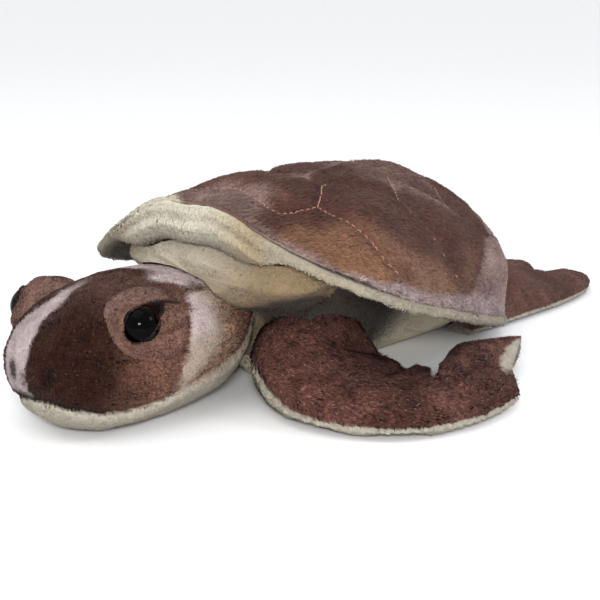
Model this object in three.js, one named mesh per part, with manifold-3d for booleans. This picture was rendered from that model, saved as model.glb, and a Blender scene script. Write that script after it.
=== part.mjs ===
// Stuffed toy loggerhead sea turtle, lying on its belly with the head turned a little to one side.
// Millimetres, +Z up, head towards -Y, the turtle's left side towards +X.

import * as THREE from 'three';
import { mergeVertices } from 'three/addons/utils/BufferGeometryUtils.js';
import Module from 'manifold-3d';

const wasm = await Module();
wasm.setup();

// ---------------------------------------------------------------- driving dimensions

const SEAM_GAP = 0.3; // clearance kept between pieces that touch
const MERGE_DISTANCE = 1e-4;

const SHELL = {
  halfWidth: 77,
  frontLength: 60, // from the widest line (y = 0) forward
  rearLength: 130, // from the widest line back
  frontSquareness: 3.4,
  rearSquareness: 1.9,
  crownHeight: 91.3,
  hollowHeight: 56, // height of the shell's underside at its middle
};

// Height of the shell's edge by the plan angle from the front, in degrees.
const RIM_HEIGHT = [
  [0, 85.8], [14, 86.8], [24, 84.3], [32, 80.2], [46, 72.4], [60, 63.4], [80, 51], [115, 35], [145, 20],
  [161, 12], [172, 17], [180, 19],
];

// How the shell rises from its edge: 0.5 is an upright wall, 1 and more a gentle slope.
const WALL_SLOPE = [
  [0, 1.05], [50, 0.86], [65, 0.68], [90, 0.62], [120, 0.64], [145, 0.66], [160, 0.6], [180, 0.46],
];

// How far the shell's wall bulges out past its edge.
const WALL_BULGE = [[100, 0], [125, 1.5], [145, 8], [165, 6], [180, 6]];

// The right front corner of the shell hangs lower and a little further out than the left.
const DROOP = { angle: 56, spread: 40, depth: 13, flare: 11, fade: 3.5 };

const LINING = {
  overhang: 2.2, // how far the rolled cream edge stands outside the brown shell
  edgeThickness: 5,
  frontThickness: 17,
  frontWidth: [28, 58], // from the midline, where the thick front edge begins and ends thinning
  innerThickness: 4,
};

// Rings of the shell and its lining, as shares of the way from the middle to the edge.
const DOME_SHARES = [0.08, 0.26, 0.43, 0.58, 0.7, 0.8, 0.88, 0.94, 0.98, 1];
const UNDERSIDE_SHARES = [0.93, 0.6, 0.08];
const SHELL_AROUND = 44; // points in each ring

// The body under the shell: stations along y.
const BODY = { front: -60, back: 120, neckSeam: -28, neckSteps: 5, trunkSteps: 13, easing: 0.5 };
const BODY_SECTION = { points: 22, squareness: 2.1, under: 1.45 };
const BODY_HALF_WIDTH = [
  [-60, 30], [-54, 48], [-42, 57], [-20, 54], [10, 42], [45, 35], [80, 29], [108, 20], [120, 8],
];
const BODY_TOP = [[-60, 62], [-50, 76], [-30, 84], [20, 80], [80, 52], [110, 32], [120, 20]];
const BODY_MIDDLE = [[-60, 55], [-45, 57], [-25, 60], [0, 54], [30, 36], [60, 20], [90, 13], [120, 12]];
const BODY_BOTTOM = [
  [-60, 49], [-54, 41], [-46, 37], [-38, 34], [-31, 22], [-24, 2], [-16, -3], [100, -3], [114, 2], [120, 6],
];

const HEAD = {
  middle: [-14, -80], // plan position of the head's own origin
  turn: 6, // degrees towards the turtle's left
  roll: 4, // degrees, left cheek up
  back: -50,
  front: 56,
  steps: 18,
  easing: 0.75,
};

// The head in its own frame, stations along its length (negative is the nape).
const HEAD_SECTION = { points: 26, squareness: 2.25 };
const HEAD_HALF_WIDTH = [
  [-50, 16], [-46, 27], [-36, 36], [-15, 40], [8, 39], [28, 34], [42, 28], [51, 19], [56, 6],
];
const HEAD_TOP = [[-50, 48], [-43, 54], [-20, 57], [10, 58], [28, 56], [42, 50], [51, 42], [56, 32]];
const HEAD_MIDDLE = [[-50, 35], [0, 28], [56, 27]];
const HEAD_BOTTOM = [[-50, 22], [-43, 9], [-25, 0], [0, -2], [30, -1], [44, 5], [52, 13], [56, 22]];

const EYE = {
  socket: [27, 18.5, 41.5], // middle of the eye patch in the head's frame: side, forward, height
  tilt: 24, // degrees that the eye looks up
  turn: 28, // degrees that it looks forward
  patch: [12, 19, 16.5], // half sizes of the raised oval patch: outward, lengthwise, upward
  button: [6.2, 7.5, 7.5], // half sizes of the domed plastic eye
  buttonOffset: [10.5, 3.5, 0.5], // the eye's middle from the socket's: outward, forward, upward
};

// Section of every flipper, from its front seam to its rear seam.
const FLIPPER_SECTION = {
  points: 14,
  underReach: 1.25, // how far the underside drops, in seam heights, before it meets the floor
  edgePower: 0.85, // spacing of the points across the flipper
  crownPower: 0.9, // fullness of the pillow
  liftPower: 1.5, // how late across the flipper its lift sets in
  notchPower: 1.2,
  notchStart: 0.8, // share of the length where the tip notch starts to open
  dipThinning: 0.08, // share of thickness lost in a notch between scallops
};

// Fore flipper in plan: the leading edge and the scalloped trailing edge from shoulder to tip.
const FORE_LEADING = [[8, -31], [25, -49], [55, -55], [85, -44], [102, -24], [109, 2], [107, 30]];
const FORE_TRAILING = [[34, 14], [38, 12], [46, 17], [60, 18], [70, 19], [60.5, 45], [76, 80]];
const FORE_TOP = [
  [0, 34], [0.12, 39], [0.2, 38.5], [0.26, 34], [0.32, 27], [0.38, 23], [0.46, 21], [0.56, 20], [0.75, 19],
  [0.92, 18], [1, 13],
];
const FORE_LIFT = [[0, -4], [0.2, -6], [0.3, -6], [0.44, -3], [0.58, -1], [0.85, 3], [1, 8]]; // rear edge
const FORE_SCALLOPS = { start: 0.29, pitch: 0.185, depth: 8.5, count: 2 };
const FORE_NOTCH_DEPTH = 22;
const FORE_STEPS = 32;
const FORE_SEAM = [[0, 0.46], [0.18, 0.46], [0.24, 0.36], [0.32, 0.28], [1, 0.28]];

// Hind flipper in plan, pointing straight back; its inner, scalloped edge is held up beside the tail.
const HIND_OUTER = [[33, 96], [35, 118], [36, 150], [36, 180], [32, 206], [21, 227]];
const HIND_INNER = [[9, 96], [7, 122], [5, 148], [3.5, 172], [4, 198], [11, 220]];
const HIND_TOP = [[0, 9], [0.3, 12], [0.6, 12], [0.85, 11], [1, 6]];
const HIND_LIFT = [[0, 2], [0.24, 8], [0.36, 17], [0.5, 16], [0.66, 8], [0.8, 3], [1, 1]];
const HIND_SCALLOPS = { start: 0.36, pitch: 0.2, depth: 4, count: 3 };
const HIND_STEPS = 14;
const HIND_SEAM = [[0, 0.28], [1, 0.28]];

const TAIL = {
  start: 100,
  end: 162,
  halfWidth: 7,
  height: 13,
  sink: 1.5, // how far its round underside is pressed flat on the floor
  middleShare: 0.4,
  taperPower: 2.5,
  tipShare: 0.14,
  points: 10,
  steps: 5,
};

// ---------------------------------------------------------------- small helpers

const radians = THREE.MathUtils.degToRad;
const clamp = THREE.MathUtils.clamp;

// A smooth value through a few stations [t, value], held flat beyond the ends.
function through(stations) {
  const last = stations.length - 1;
  const slope = (i) => {
    const a = stations[Math.max(i - 1, 0)];
    const b = stations[Math.min(i + 1, last)];
    return (b[1] - a[1]) / (b[0] - a[0]);
  };
  return (t) => {
    if (t <= stations[0][0]) return stations[0][1];
    if (t >= stations[last][0]) return stations[last][1];
    const i = stations.findIndex((s) => s[0] > t) - 1;
    const span = stations[i + 1][0] - stations[i][0];
    const u = (t - stations[i][0]) / span;
    const eased = (3 - 2 * u) * u * u;
    const lean = u * (1 - u) * ((1 - u) * slope(i) - u * slope(i + 1)) * span;
    return stations[i][1] * (1 - eased) + stations[i + 1][1] * eased + lean;
  };
}

// A smooth plan curve through [x, y] points, read by t from 0 to 1.
function planCurve(points) {
  const curve = new THREE.SplineCurve(points.map(([x, y]) => new THREE.Vector2(x, y)));
  return (t) => curve.getPoint(clamp(t, 0, 1));
}

const signedPower = (value, power) => Math.sign(value) * Math.abs(value) ** power;

// Stations from a to b, closer together near both ends.
function easedStations(a, b, count, easing = 1) {
  return Array.from({ length: count + 1 }, (_, i) => {
    const even = i / count;
    const eased = (1 - Math.cos(Math.PI * even)) / 2;
    return a + (b - a) * THREE.MathUtils.lerp(even, eased, easing);
  });
}

// A closed surface over rings of equally many points, each end closed by a fan.
function closedOverRings(rings) {
  const around = rings[0].length;
  const middle = (ring) => ring.reduce((sum, p) => sum.add(p), new THREE.Vector3()).divideScalar(around);
  const points = [...rings.flat(), middle(rings[0]), middle(rings.at(-1))];
  const firstPole = rings.length * around;
  const index = [];
  for (let k = 0; k < around; k += 1) {
    const next = (k + 1) % around;
    for (let r = 0; r + 1 < rings.length; r += 1) {
      const [a, b] = [r * around + k, r * around + next];
      index.push(a, b, b + around, a, b + around, a + around);
    }
    const top = (rings.length - 1) * around;
    index.push(firstPole, next, k, firstPole + 1, top + k, top + next);
  }
  const geometry = new THREE.BufferGeometry().setFromPoints(points);
  geometry.setIndex(index);
  return facingOut(mergeVertices(geometry, MERGE_DISTANCE));
}

// Turns every face round when the enclosed volume comes out negative.
function facingOut(geometry) {
  const { index } = geometry;
  const corner = (i) => new THREE.Vector3().fromBufferAttribute(geometry.attributes.position, index.getX(i));
  let volume = 0;
  for (let i = 0; i < index.count; i += 3) {
    volume += corner(i).dot(corner(i + 1).cross(corner(i + 2)));
  }
  if (volume < 0) {
    for (let i = 0; i < index.count; i += 3) {
      const kept = index.getX(i);
      index.setX(i, index.getX(i + 1));
      index.setX(i + 1, kept);
    }
  }
  return geometry;
}

function toSolid(geometry) {
  return new wasm.Manifold(new wasm.Mesh({
    numProp: 3,
    vertProperties: new Float32Array(geometry.attributes.position.array),
    triVerts: new Uint32Array(geometry.index.array),
  }));
}

function toGeometry(solid) {
  const mesh = solid.getMesh();
  const geometry = new THREE.BufferGeometry();
  geometry.setAttribute('position', new THREE.BufferAttribute(mesh.vertProperties, 3));
  geometry.setIndex(new THREE.BufferAttribute(mesh.triVerts, 1));
  return geometry;
}

// The same surface moved out along its normals.
function grown(geometry, distance = SEAM_GAP) {
  const bigger = geometry.clone();
  bigger.computeVertexNormals();
  const { position, normal } = bigger.attributes;
  for (let i = 0; i < position.count; i += 1) {
    position.setXYZ(
      i,
      position.getX(i) + distance * normal.getX(i),
      position.getY(i) + distance * normal.getY(i),
      position.getZ(i) + distance * normal.getZ(i),
    );
  }
  bigger.deleteAttribute('normal');
  return bigger;
}

// What is left of a piece once its neighbours, each grown by the seam gap, are cut away.
function clearOf(piece, ...neighbours) {
  const left = neighbours.reduce((solid, other) => solid.subtract(toSolid(grown(other))), toSolid(piece));
  const largest = left.decompose().sort((a, b) => b.volume() - a.volume())[0];
  return toGeometry(largest);
}

function mirrored(geometry) {
  const copy = geometry.clone();
  copy.scale(-1, 1, 1);
  return facingOut(copy);
}

// A ring in the x-z plane: a superellipse with its own top and bottom, and squareness below.
function sectionRing({ points, squareness, under = squareness }, halfWidth, middle, top, bottom, place) {
  return Array.from({ length: points }, (_, k) => {
    const angle = (2 * Math.PI * k) / points;
    const upper = Math.sin(angle) > 0;
    const power = 2 / (upper ? squareness : under);
    const reach = upper ? top - middle : middle - bottom;
    const across = halfWidth * signedPower(Math.cos(angle), power);
    return place(across, middle + reach * signedPower(Math.sin(angle), power));
  });
}

const restingOnFloor = (x, y, z) => new THREE.Vector3(x, y, Math.max(z, 0));

// ---------------------------------------------------------------- shell

const rimHeight = through(RIM_HEIGHT);
const wallSlope = through(WALL_SLOPE);
const wallBulge = through(WALL_BULGE);

// 1 at the drooping corner, fading to 0 over the spread.
function droopShare(x, bearing) {
  return x < 0 ? Math.exp(-(((bearing - DROOP.angle) / DROOP.spread) ** 2) * 2) : 0;
}

// A point on the shell's edge and the slope of the shell above it, for an angle from the front.
function rimPoint(angle) {
  const forward = Math.cos(angle);
  const [length, squareness] = forward > 0
    ? [SHELL.frontLength, SHELL.frontSquareness]
    : [SHELL.rearLength, SHELL.rearSquareness];
  const x = SHELL.halfWidth * signedPower(Math.sin(angle), 2 / squareness);
  const y = -length * signedPower(forward, 2 / squareness);
  const bearing = THREE.MathUtils.radToDeg(Math.atan2(Math.abs(x), -y));
  const droop = droopShare(x, bearing);
  const sag = DROOP.depth * droop;
  return {
    x: x - DROOP.flare * droop,
    y,
    z: rimHeight(bearing) - sag,
    sag,
    slope: wallSlope(bearing),
    bulge: wallBulge(bearing),
  };
}

const shellCentreY = (SHELL.rearLength - SHELL.frontLength) / 2;
const rimRing = Array.from({ length: SHELL_AROUND }, (_, k) => rimPoint((2 * Math.PI * k) / SHELL_AROUND));

const notOutward = () => 0;

// A ring part way (0 to 1) from the shell's middle to its edge, at a height set by the caller.
function shellRing(share, heightOf, outward = notOutward) {
  return rimRing.map((rim) => {
    const flat = new THREE.Vector2(rim.x, rim.y - shellCentreY);
    const stretch = share + outward(rim) / flat.length();
    return new THREE.Vector3(flat.x * stretch, flat.y * stretch + shellCentreY, heightOf(rim, share));
  });
}

// The shell's top is that of an even edge, and sags only near the edge.
function domeHeight(rim, share) {
  const edge = rim.z + rim.sag;
  const rise = (SHELL.crownHeight - edge) * (1 - share ** 2) ** rim.slope;
  return edge + rise - rim.sag * share ** DROOP.fade;
}

const undersideHeight = (rim, share) => (
  SHELL.hollowHeight + (rim.z - SHELL.hollowHeight) * share ** 1.5
);

function shellGeometry() {
  const bulging = (share) => (rim) => rim.bulge * Math.sin(Math.PI * share ** 4);
  const top = DOME_SHARES.map((share) => shellRing(share, domeHeight, bulging(share)));
  const under = UNDERSIDE_SHARES.map((share) => shellRing(share, undersideHeight));
  return closedOverRings([...top, ...under]);
}

function liningThickness(rim, share) {
  const narrowing = THREE.MathUtils.smoothstep(Math.abs(rim.x), ...LINING.frontWidth);
  const frontShare = clamp(-rim.y / SHELL.frontLength, 0, 1) * (1 - narrowing);
  const edge = THREE.MathUtils.lerp(LINING.edgeThickness, LINING.frontThickness, frontShare);
  return THREE.MathUtils.lerp(LINING.innerThickness, edge, share ** 3);
}

function liningGeometry() {
  const upper = (rim, share) => undersideHeight(rim, share) - SEAM_GAP;
  const lower = (rim, share) => upper(rim, share) - liningThickness(rim, share);
  const middle = (rim, share) => (upper(rim, share) + lower(rim, share)) / 2;
  return closedOverRings([
    ...UNDERSIDE_SHARES.toReversed().map((share) => shellRing(share, lower)),
    shellRing(1, lower, () => LINING.overhang * 0.4),
    shellRing(1, middle, () => LINING.overhang),
    shellRing(1, upper),
    ...UNDERSIDE_SHARES.map((share) => shellRing(share, upper)),
  ]);
}

// ---------------------------------------------------------------- body and head

const bodyHalfWidth = through(BODY_HALF_WIDTH);
const bodyTop = through(BODY_TOP);
const bodyMiddle = through(BODY_MIDDLE);
const bodyBottom = through(BODY_BOTTOM);

const neckEnd = BODY.neckSeam - SEAM_GAP / 2;
const trunkStart = BODY.neckSeam + SEAM_GAP / 2;
const neckStations = easedStations(BODY.front, neckEnd, BODY.neckSteps, BODY.easing);
const trunkStations = easedStations(trunkStart, BODY.back, BODY.trunkSteps, BODY.easing);

function bodyGeometry(stations) {
  return closedOverRings(stations.map((y) => sectionRing(
    BODY_SECTION, bodyHalfWidth(y), bodyMiddle(y), bodyTop(y), bodyBottom(y),
    (x, z) => restingOnFloor(x, y, z),
  )));
}

// From the head's frame (side, forward, height) to the model's.
function headPoint(side, forward, height) {
  const point = new THREE.Vector3(side, -forward, height);
  const hinge = HEAD_MIDDLE[1][1];
  point.z -= hinge;
  point.applyAxisAngle(new THREE.Vector3(0, 1, 0), -radians(HEAD.roll));
  point.applyAxisAngle(new THREE.Vector3(0, 0, 1), radians(HEAD.turn));
  return restingOnFloor(point.x + HEAD.middle[0], point.y + HEAD.middle[1], point.z + hinge);
}

const headHalfWidth = through(HEAD_HALF_WIDTH);
const headTop = through(HEAD_TOP);
const headMiddle = through(HEAD_MIDDLE);
const headBottom = through(HEAD_BOTTOM);

function headGeometry() {
  const stations = easedStations(HEAD.back, HEAD.front, HEAD.steps, HEAD.easing);
  return closedOverRings(stations.map((forward) => sectionRing(
    HEAD_SECTION, headHalfWidth(forward), headMiddle(forward), headTop(forward), headBottom(forward),
    (side, height) => headPoint(side, forward, height),
  )));
}

// An ellipsoid on the eye's axis; side is +1 for the turtle's left eye and -1 for its right.
function eyePiece(side, halfSizes, [outward, forward, upward], segments, rows) {
  const piece = new THREE.SphereGeometry(1, segments, rows);
  piece.deleteAttribute('normal');
  piece.deleteAttribute('uv');
  piece.scale(...halfSizes);
  piece.translate(side * outward, -forward, upward);
  piece.rotateY(radians(-EYE.tilt * side));
  piece.rotateZ(radians(HEAD.turn - EYE.turn * side));
  const [across, ahead, height] = EYE.socket;
  const middle = headPoint(side * across, ahead, height);
  piece.translate(middle.x, middle.y, middle.z);
  return mergeVertices(piece, MERGE_DISTANCE);
}

const eyeGeometry = (side) => eyePiece(side, EYE.button, EYE.buttonOffset, 12, 8);
const eyelidGeometry = (side) => eyePiece(side, EYE.patch, [0, 0, 0], 16, 9);

// ---------------------------------------------------------------- flippers and tail

// A dip between neighbouring scallops, 0 on a scallop's crest and 1 in a notch.
function scallopDip(t, { start, pitch, count }) {
  const turns = (t - start) / pitch;
  if (turns < 0 || turns > count) return 0;
  return Math.abs(Math.cos(Math.PI * turns)) ** 6;
}

// Height of the pillow's surface above the floor; angle 0 to pi is its top, pi to 2 pi its underside.
function pillowHeight(angle, thickness, seamHeight) {
  const { underReach, crownPower } = FLIPPER_SECTION;
  const rounded = signedPower(Math.sin(angle), crownPower);
  if (rounded < 0) return seamHeight * (1 + underReach * rounded);
  return seamHeight + (thickness - seamHeight) * rounded;
}

// A ring around a flipper between two plan points on its edges; along points towards the tip.
function flipperRing({ front, rear, along, thickness, seamHeight, lift, notch }) {
  const { points, edgePower, liftPower, notchPower } = FLIPPER_SECTION;
  return Array.from({ length: points }, (_, k) => {
    const angle = (2 * Math.PI * k) / points;
    const across = 0.5 - 0.5 * signedPower(Math.cos(angle), edgePower);
    const plan = front.clone().lerp(rear, across);
    plan.addScaledVector(along, -notch * (1 - Math.abs(2 * across - 1)) ** notchPower);
    const height = pillowHeight(angle, thickness, seamHeight);
    return restingOnFloor(plan.x, plan.y, height + lift * across ** liftPower);
  });
}

// A flat pillow between a leading and a trailing edge; the tip can be notched.
function flipperGeometry({ leading, trailing, top, lift, seam, scallops, notch, steps }) {
  const leadAt = planCurve(leading);
  const trailAt = planCurve(trailing);
  const topAt = through(top);
  const liftAt = through(lift);
  const seamAt = through(seam);
  const spine = (t) => leadAt(t).add(trailAt(t)).multiplyScalar(0.5);
  const stations = easedStations(0, 1, steps, 0.25);
  return closedOverRings(stations.map((t, i) => {
    const ahead = spine(stations[Math.min(i + 1, steps)]);
    const along = ahead.sub(spine(stations[Math.max(i - 1, 0)])).normalize();
    const front = leadAt(t);
    const rear = trailAt(t);
    const dip = scallopDip(t, scallops);
    rear.lerp(front, (dip * scallops.depth) / front.distanceTo(rear));
    const thickness = topAt(t) * (1 - FLIPPER_SECTION.dipThinning * dip);
    const opening = THREE.MathUtils.smoothstep(t, FLIPPER_SECTION.notchStart, 1);
    return flipperRing({
      front,
      rear,
      along,
      thickness,
      seamHeight: seamAt(t) * thickness,
      lift: liftAt(t),
      notch: notch * opening,
    });
  }));
}

function foreFlipperGeometry() {
  return flipperGeometry({
    leading: FORE_LEADING,
    trailing: FORE_TRAILING,
    top: FORE_TOP,
    lift: FORE_LIFT,
    seam: FORE_SEAM,
    scallops: FORE_SCALLOPS,
    notch: FORE_NOTCH_DEPTH,
    steps: FORE_STEPS,
  });
}

function hindFlipperGeometry() {
  return flipperGeometry({
    leading: HIND_OUTER,
    trailing: HIND_INNER,
    top: HIND_TOP,
    lift: HIND_LIFT,
    seam: HIND_SEAM,
    scallops: HIND_SCALLOPS,
    notch: 0,
    steps: HIND_STEPS,
  });
}

function tailGeometry() {
  const section = { points: TAIL.points, squareness: 2 };
  const middle = TAIL.height * TAIL.middleShare;
  return closedOverRings(easedStations(TAIL.start, TAIL.end, TAIL.steps).map((y) => {
    const share = (y - TAIL.start) / (TAIL.end - TAIL.start);
    const taper = Math.max(Math.sqrt(1 - share ** TAIL.taperPower), TAIL.tipShare);
    const top = middle + (TAIL.height - middle) * taper;
    const place = (x, z) => restingOnFloor(x, y, z);
    return sectionRing(section, TAIL.halfWidth * taper, middle, top, -TAIL.sink, place);
  }));
}

// ---------------------------------------------------------------- materials

function plush(color) {
  return new THREE.MeshStandardMaterial({ color, roughness: 0.95, metalness: 0 });
}

const brownPlush = () => plush(0x5d3c32);
const darkPlush = () => plush(0x3e2721);
const creamPlush = () => plush(0xd6cbae);
const eyePlastic = () => new THREE.MeshStandardMaterial({ color: 0x0b0a0a, roughness: 0.08, metalness: 0 });

// ---------------------------------------------------------------- assembly

const turtle = new THREE.Group();

function add(name, geometry, material) {
  const mesh = new THREE.Mesh(geometry, material);
  mesh.name = name;
  turtle.add(mesh);
}

const shell = shellGeometry();
const lining = liningGeometry();
const body = bodyGeometry([...neckStations, ...trunkStations]);
const head = headGeometry();
const foreFlippers = [foreFlipperGeometry()];
foreFlippers.push(mirrored(foreFlippers[0]));
const hindFlippers = [hindFlipperGeometry()];
hindFlippers.push(mirrored(hindFlippers[0]));
const tail = tailGeometry();
const eyes = [1, -1].map(eyeGeometry);
const eyelids = [1, -1].map(eyelidGeometry);

add('shell', shell, brownPlush());
add('shell_lining', lining, creamPlush());
add('trunk', clearOf(bodyGeometry(trunkStations), lining, ...foreFlippers), creamPlush());
add('neck', clearOf(bodyGeometry(neckStations), lining, head, ...foreFlippers), creamPlush());
add('head', clearOf(head, ...eyes), brownPlush());
add('eyelid_left', clearOf(eyelids[0], head, eyes[0]), brownPlush());
add('eyelid_right', clearOf(eyelids[1], head, eyes[1]), brownPlush());
add('eye_left', eyes[0], eyePlastic());
add('eye_right', eyes[1], eyePlastic());
add('fore_flipper_left', clearOf(foreFlippers[0], head, lining), darkPlush());
add('fore_flipper_right', clearOf(foreFlippers[1], head, lining), darkPlush());
add('hind_flipper_left', clearOf(hindFlippers[0], body, lining, shell), darkPlush());
add('hind_flipper_right', clearOf(hindFlippers[1], body, lining, shell), darkPlush());
add('tail', clearOf(tail, body, lining, shell), brownPlush());

// The origin is the middle of the footprint, on the surface the toy lies on.
const footprint = new THREE.Box3().setFromObject(turtle);
const middle = footprint.getCenter(new THREE.Vector3());
turtle.position.set(-middle.x, -middle.y, -footprint.min.z);

export default turtle;
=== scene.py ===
"""Looks of a stuffed toy sea turtle: skins, pile, stitches, eyes, floor, lights and camera.

Shapes are worked out in millimetres in the body frame (x towards the turtle's left, y towards its
tail from the shell's widest line, z up) and leave it in metres, in the model's frame.
"""

import math

import bpy
import numpy as np
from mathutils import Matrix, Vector
from mathutils.bvhtree import BVHTree
from mathutils.kdtree import KDTree

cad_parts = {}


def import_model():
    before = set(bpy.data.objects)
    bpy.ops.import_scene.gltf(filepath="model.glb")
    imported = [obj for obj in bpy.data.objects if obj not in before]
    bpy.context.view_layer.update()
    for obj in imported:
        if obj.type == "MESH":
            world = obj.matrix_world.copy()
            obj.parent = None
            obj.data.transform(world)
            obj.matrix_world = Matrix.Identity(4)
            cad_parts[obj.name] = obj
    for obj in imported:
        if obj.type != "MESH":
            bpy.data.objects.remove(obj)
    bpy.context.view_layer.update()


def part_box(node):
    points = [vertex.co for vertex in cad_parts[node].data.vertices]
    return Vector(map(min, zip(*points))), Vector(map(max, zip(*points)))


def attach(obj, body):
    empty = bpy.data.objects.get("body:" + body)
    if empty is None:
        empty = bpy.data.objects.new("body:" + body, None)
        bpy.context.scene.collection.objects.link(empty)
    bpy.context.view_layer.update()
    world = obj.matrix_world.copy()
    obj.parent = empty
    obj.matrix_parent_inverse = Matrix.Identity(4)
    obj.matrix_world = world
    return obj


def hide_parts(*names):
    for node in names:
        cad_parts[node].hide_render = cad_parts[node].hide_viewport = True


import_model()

# ---- driving dimensions, millimetres

MM = 0.001
SKIN_INSET = 0.9  # the woven backing lies this far inside the outline, which is that of the pile
SEAM_GAP = 0.3
PIECE_GAP = 0.4  # from the outline of a piece to the face cut into its neighbour

SHELL_HALF_WIDTH = 77
SHELL_FRONT = 60
SHELL_REAR = 130
SHELL_FRONT_SQUARENESS = 3.4
SHELL_REAR_SQUARENESS = 1.9
SHELL_CROWN = 91.3
SHELL_HOLLOW = 56
RIM_HEIGHT = [
    (0, 85.8), (14, 86.8), (24, 84.3), (32, 80.2), (46, 72.4), (60, 63.4), (80, 51), (115, 35), (145, 20),
    (161, 12), (172, 17), (180, 19),
]
WALL_SLOPE = [
    (0, 1.05), (50, 0.86), (65, 0.68), (90, 0.62), (120, 0.64), (145, 0.66), (160, 0.6), (180, 0.46),
]
WALL_BULGE = [(100, 0), (125, 1.5), (145, 8), (165, 6), (180, 6)]
# The shell's edge sags and flares on the turtle's right, round this bearing from the front.
DROOP_ANGLE, DROOP_SPREAD, DROOP_DEPTH, DROOP_FLARE, DROOP_FADE = 56, 40, 13, 11, 3.5

HEM_OVERHANG = 2.2
HEM_EDGE, HEM_FRONT, HEM_INNER = 5, 17, 4
HEM_FRONT_WIDTH = (28, 58)  # from the midline, where the thick front edge begins and ends thinning

# Borders of the quilted scutes on the turtle's left half, in plan; the right half mirrors them.
SCUTE_BORDERS = [
    [(0, -31), (13, -35.6), (25, -37.6), (31, -36.5), (32.5, -28), (34, -18.5)],
    [(34, -18.5), (25.5, -7.5), (16.5, 3)],
    [(34, -18.5), (42, -19.6), (51, -17.8), (62, -16.7), (68, -15.6), (74, -11.7)],
    [(16.5, 3), (42, 25), (17, 46), (38, 66), (12, 88)],
    [(42, 25), (53, 28), (60, 31), (68.5, 33)],
    [(0, 3), (16.5, 3)],
    [(0, 46), (17, 46)],
    [(0, 88), (12, 88)],
    [(38, 66), (50, 70)],
]
PROUD_STITCHES = [1, 1, 1, 0, 0.45, 0, 0, 0, 0]  # 0 where a border's thread is sunk in the pile
# Height of the rear margin's sewn line above the shell's edge, along y.
FLAP_RISE = [
    (-60, 1.5), (-10, 3.5), (12, 4), (31, 7), (41, 10), (51, 17), (57, 23), (68, 32), (80, 39), (130, 44),
]

BODY_HALF_WIDTH = [
    (-60, 30), (-54, 48), (-42, 57), (-20, 54), (10, 42), (45, 35), (80, 29), (108, 20), (120, 8),
]
BODY_TOP = [(-60, 62), (-50, 76), (-30, 84), (20, 80), (80, 52), (110, 32), (120, 20)]
BODY_MIDDLE = [(-60, 55), (-45, 57), (-25, 60), (0, 54), (30, 36), (60, 20), (90, 13), (120, 12)]
BODY_BOTTOM = [
    (-60, 49), (-54, 41), (-46, 37), (-38, 34), (-31, 22), (-24, 2), (-16, -3), (100, -3), (114, 2), (120, 6),
]
BODY_SQUARENESS, BODY_UNDER = 2.1, 1.45
NECK_SEAM = -28
ROOT_NOOK = (42, -20, 38)  # where the body is drawn in over a fore flipper's root
ROOT_NOOK_DEPTH, ROOT_NOOK_REACH = 8, 14
BODY_START, BODY_END = -60, 120

HEAD_X, HEAD_Y, HEAD_HINGE = -14, -80, 28
HEAD_TURN, HEAD_ROLL = math.radians(6), math.radians(4)
HEAD_BACK, HEAD_FRONT = -50, 56
HEAD_HALF_WIDTH = [(-50, 16), (-46, 27), (-36, 36), (-15, 40), (8, 39), (28, 34), (42, 28), (51, 19), (56, 6)]
HEAD_TOP = [(-50, 48), (-43, 54), (-20, 57), (10, 58), (28, 56), (42, 50), (51, 42), (56, 32)]
HEAD_MIDDLE = [(-50, 35), (0, 28), (56, 27)]
HEAD_BOTTOM = [(-50, 22), (-43, 9), (-25, 0), (0, -2), (30, -1), (44, 5), (52, 13), (56, 22)]
MOUTH_SEAM = [  # height of the seam between the brown head and the cream jaw, along the head
    (-45, 36), (-35, 31), (-28, 24.5), (-18, 21.5), (-8, 19), (5, 16), (19, 12.4), (38, 11.5), (45, 13.7),
    (51, 16.3), (56, 20),
]

EYE_SOCKET = (27, 18.5, 41.5)  # across, forward and up in the head's frame
EYE_TILT, EYE_TURN = math.radians(24), math.radians(28)
# Half sizes of the raised patch and the button: outward, backward and up.
PATCH = (12, 19, 16.5)
BUTTON = (6.2, 7.5, 7.5)
BUTTON_OFFSET = (10.5, 3.5, 0.5)  # outward, forward and up from the patch's middle

FORE_LEADING = [(8, -31), (25, -49), (55, -55), (85, -44), (102, -24), (109, 2), (107, 30)]
FORE_TRAILING = [(34, 14), (38, 12), (46, 17), (60, 18), (70, 19), (60.5, 45), (76, 80)]
FORE_TOP = [
    (0, 33), (0.12, 39), (0.2, 38.5), (0.26, 34), (0.32, 27), (0.38, 23), (0.46, 21), (0.56, 20), (0.75, 19),
    (0.92, 18), (1, 13),
]
FORE_LIFT = [  # of the rear edge, along the flipper
    (0, -4), (0.12, -4), (0.2, -6), (0.3, -6), (0.44, -3), (0.58, -1), (0.85, 3), (1, 8),
]
# Height of the seam as a share of the flipper's thickness.
FORE_SEAM = [(0, 0.46), (0.18, 0.46), (0.24, 0.36), (0.32, 0.28), (1, 0.28)]
FORE_SCALLOPS = (0.29, 0.185, 8.5, 2)  # start, pitch, depth, count
FORE_NOTCH = 22  # how deep the tip is parted

HIND_OUTER = [(33, 96), (35, 118), (36, 150), (36, 180), (32, 206), (21, 227)]
HIND_INNER = [(9, 96), (7, 122), (5, 148), (3.5, 172), (4, 198), (11, 220)]
HIND_TOP = [(0, 9), (0.3, 12), (0.6, 12), (0.85, 11), (1, 6)]
HIND_LIFT = [(0, 2), (0.24, 8), (0.36, 17), (0.5, 16), (0.66, 8), (0.8, 3), (1, 1)]
HIND_SEAM = [(0, 0.28), (1, 0.28)]
HIND_SCALLOPS = (0.36, 0.2, 4, 3)

TAIL_START, TAIL_END, TAIL_HALF_WIDTH, TAIL_HEIGHT = 100, 162, 7, 13

# The body frame's y = 0 in the model's frame: the shell's solid starts SHELL_FRONT ahead of it.
SHIFT_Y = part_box("shell")[0].y / MM + SHELL_FRONT

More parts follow.
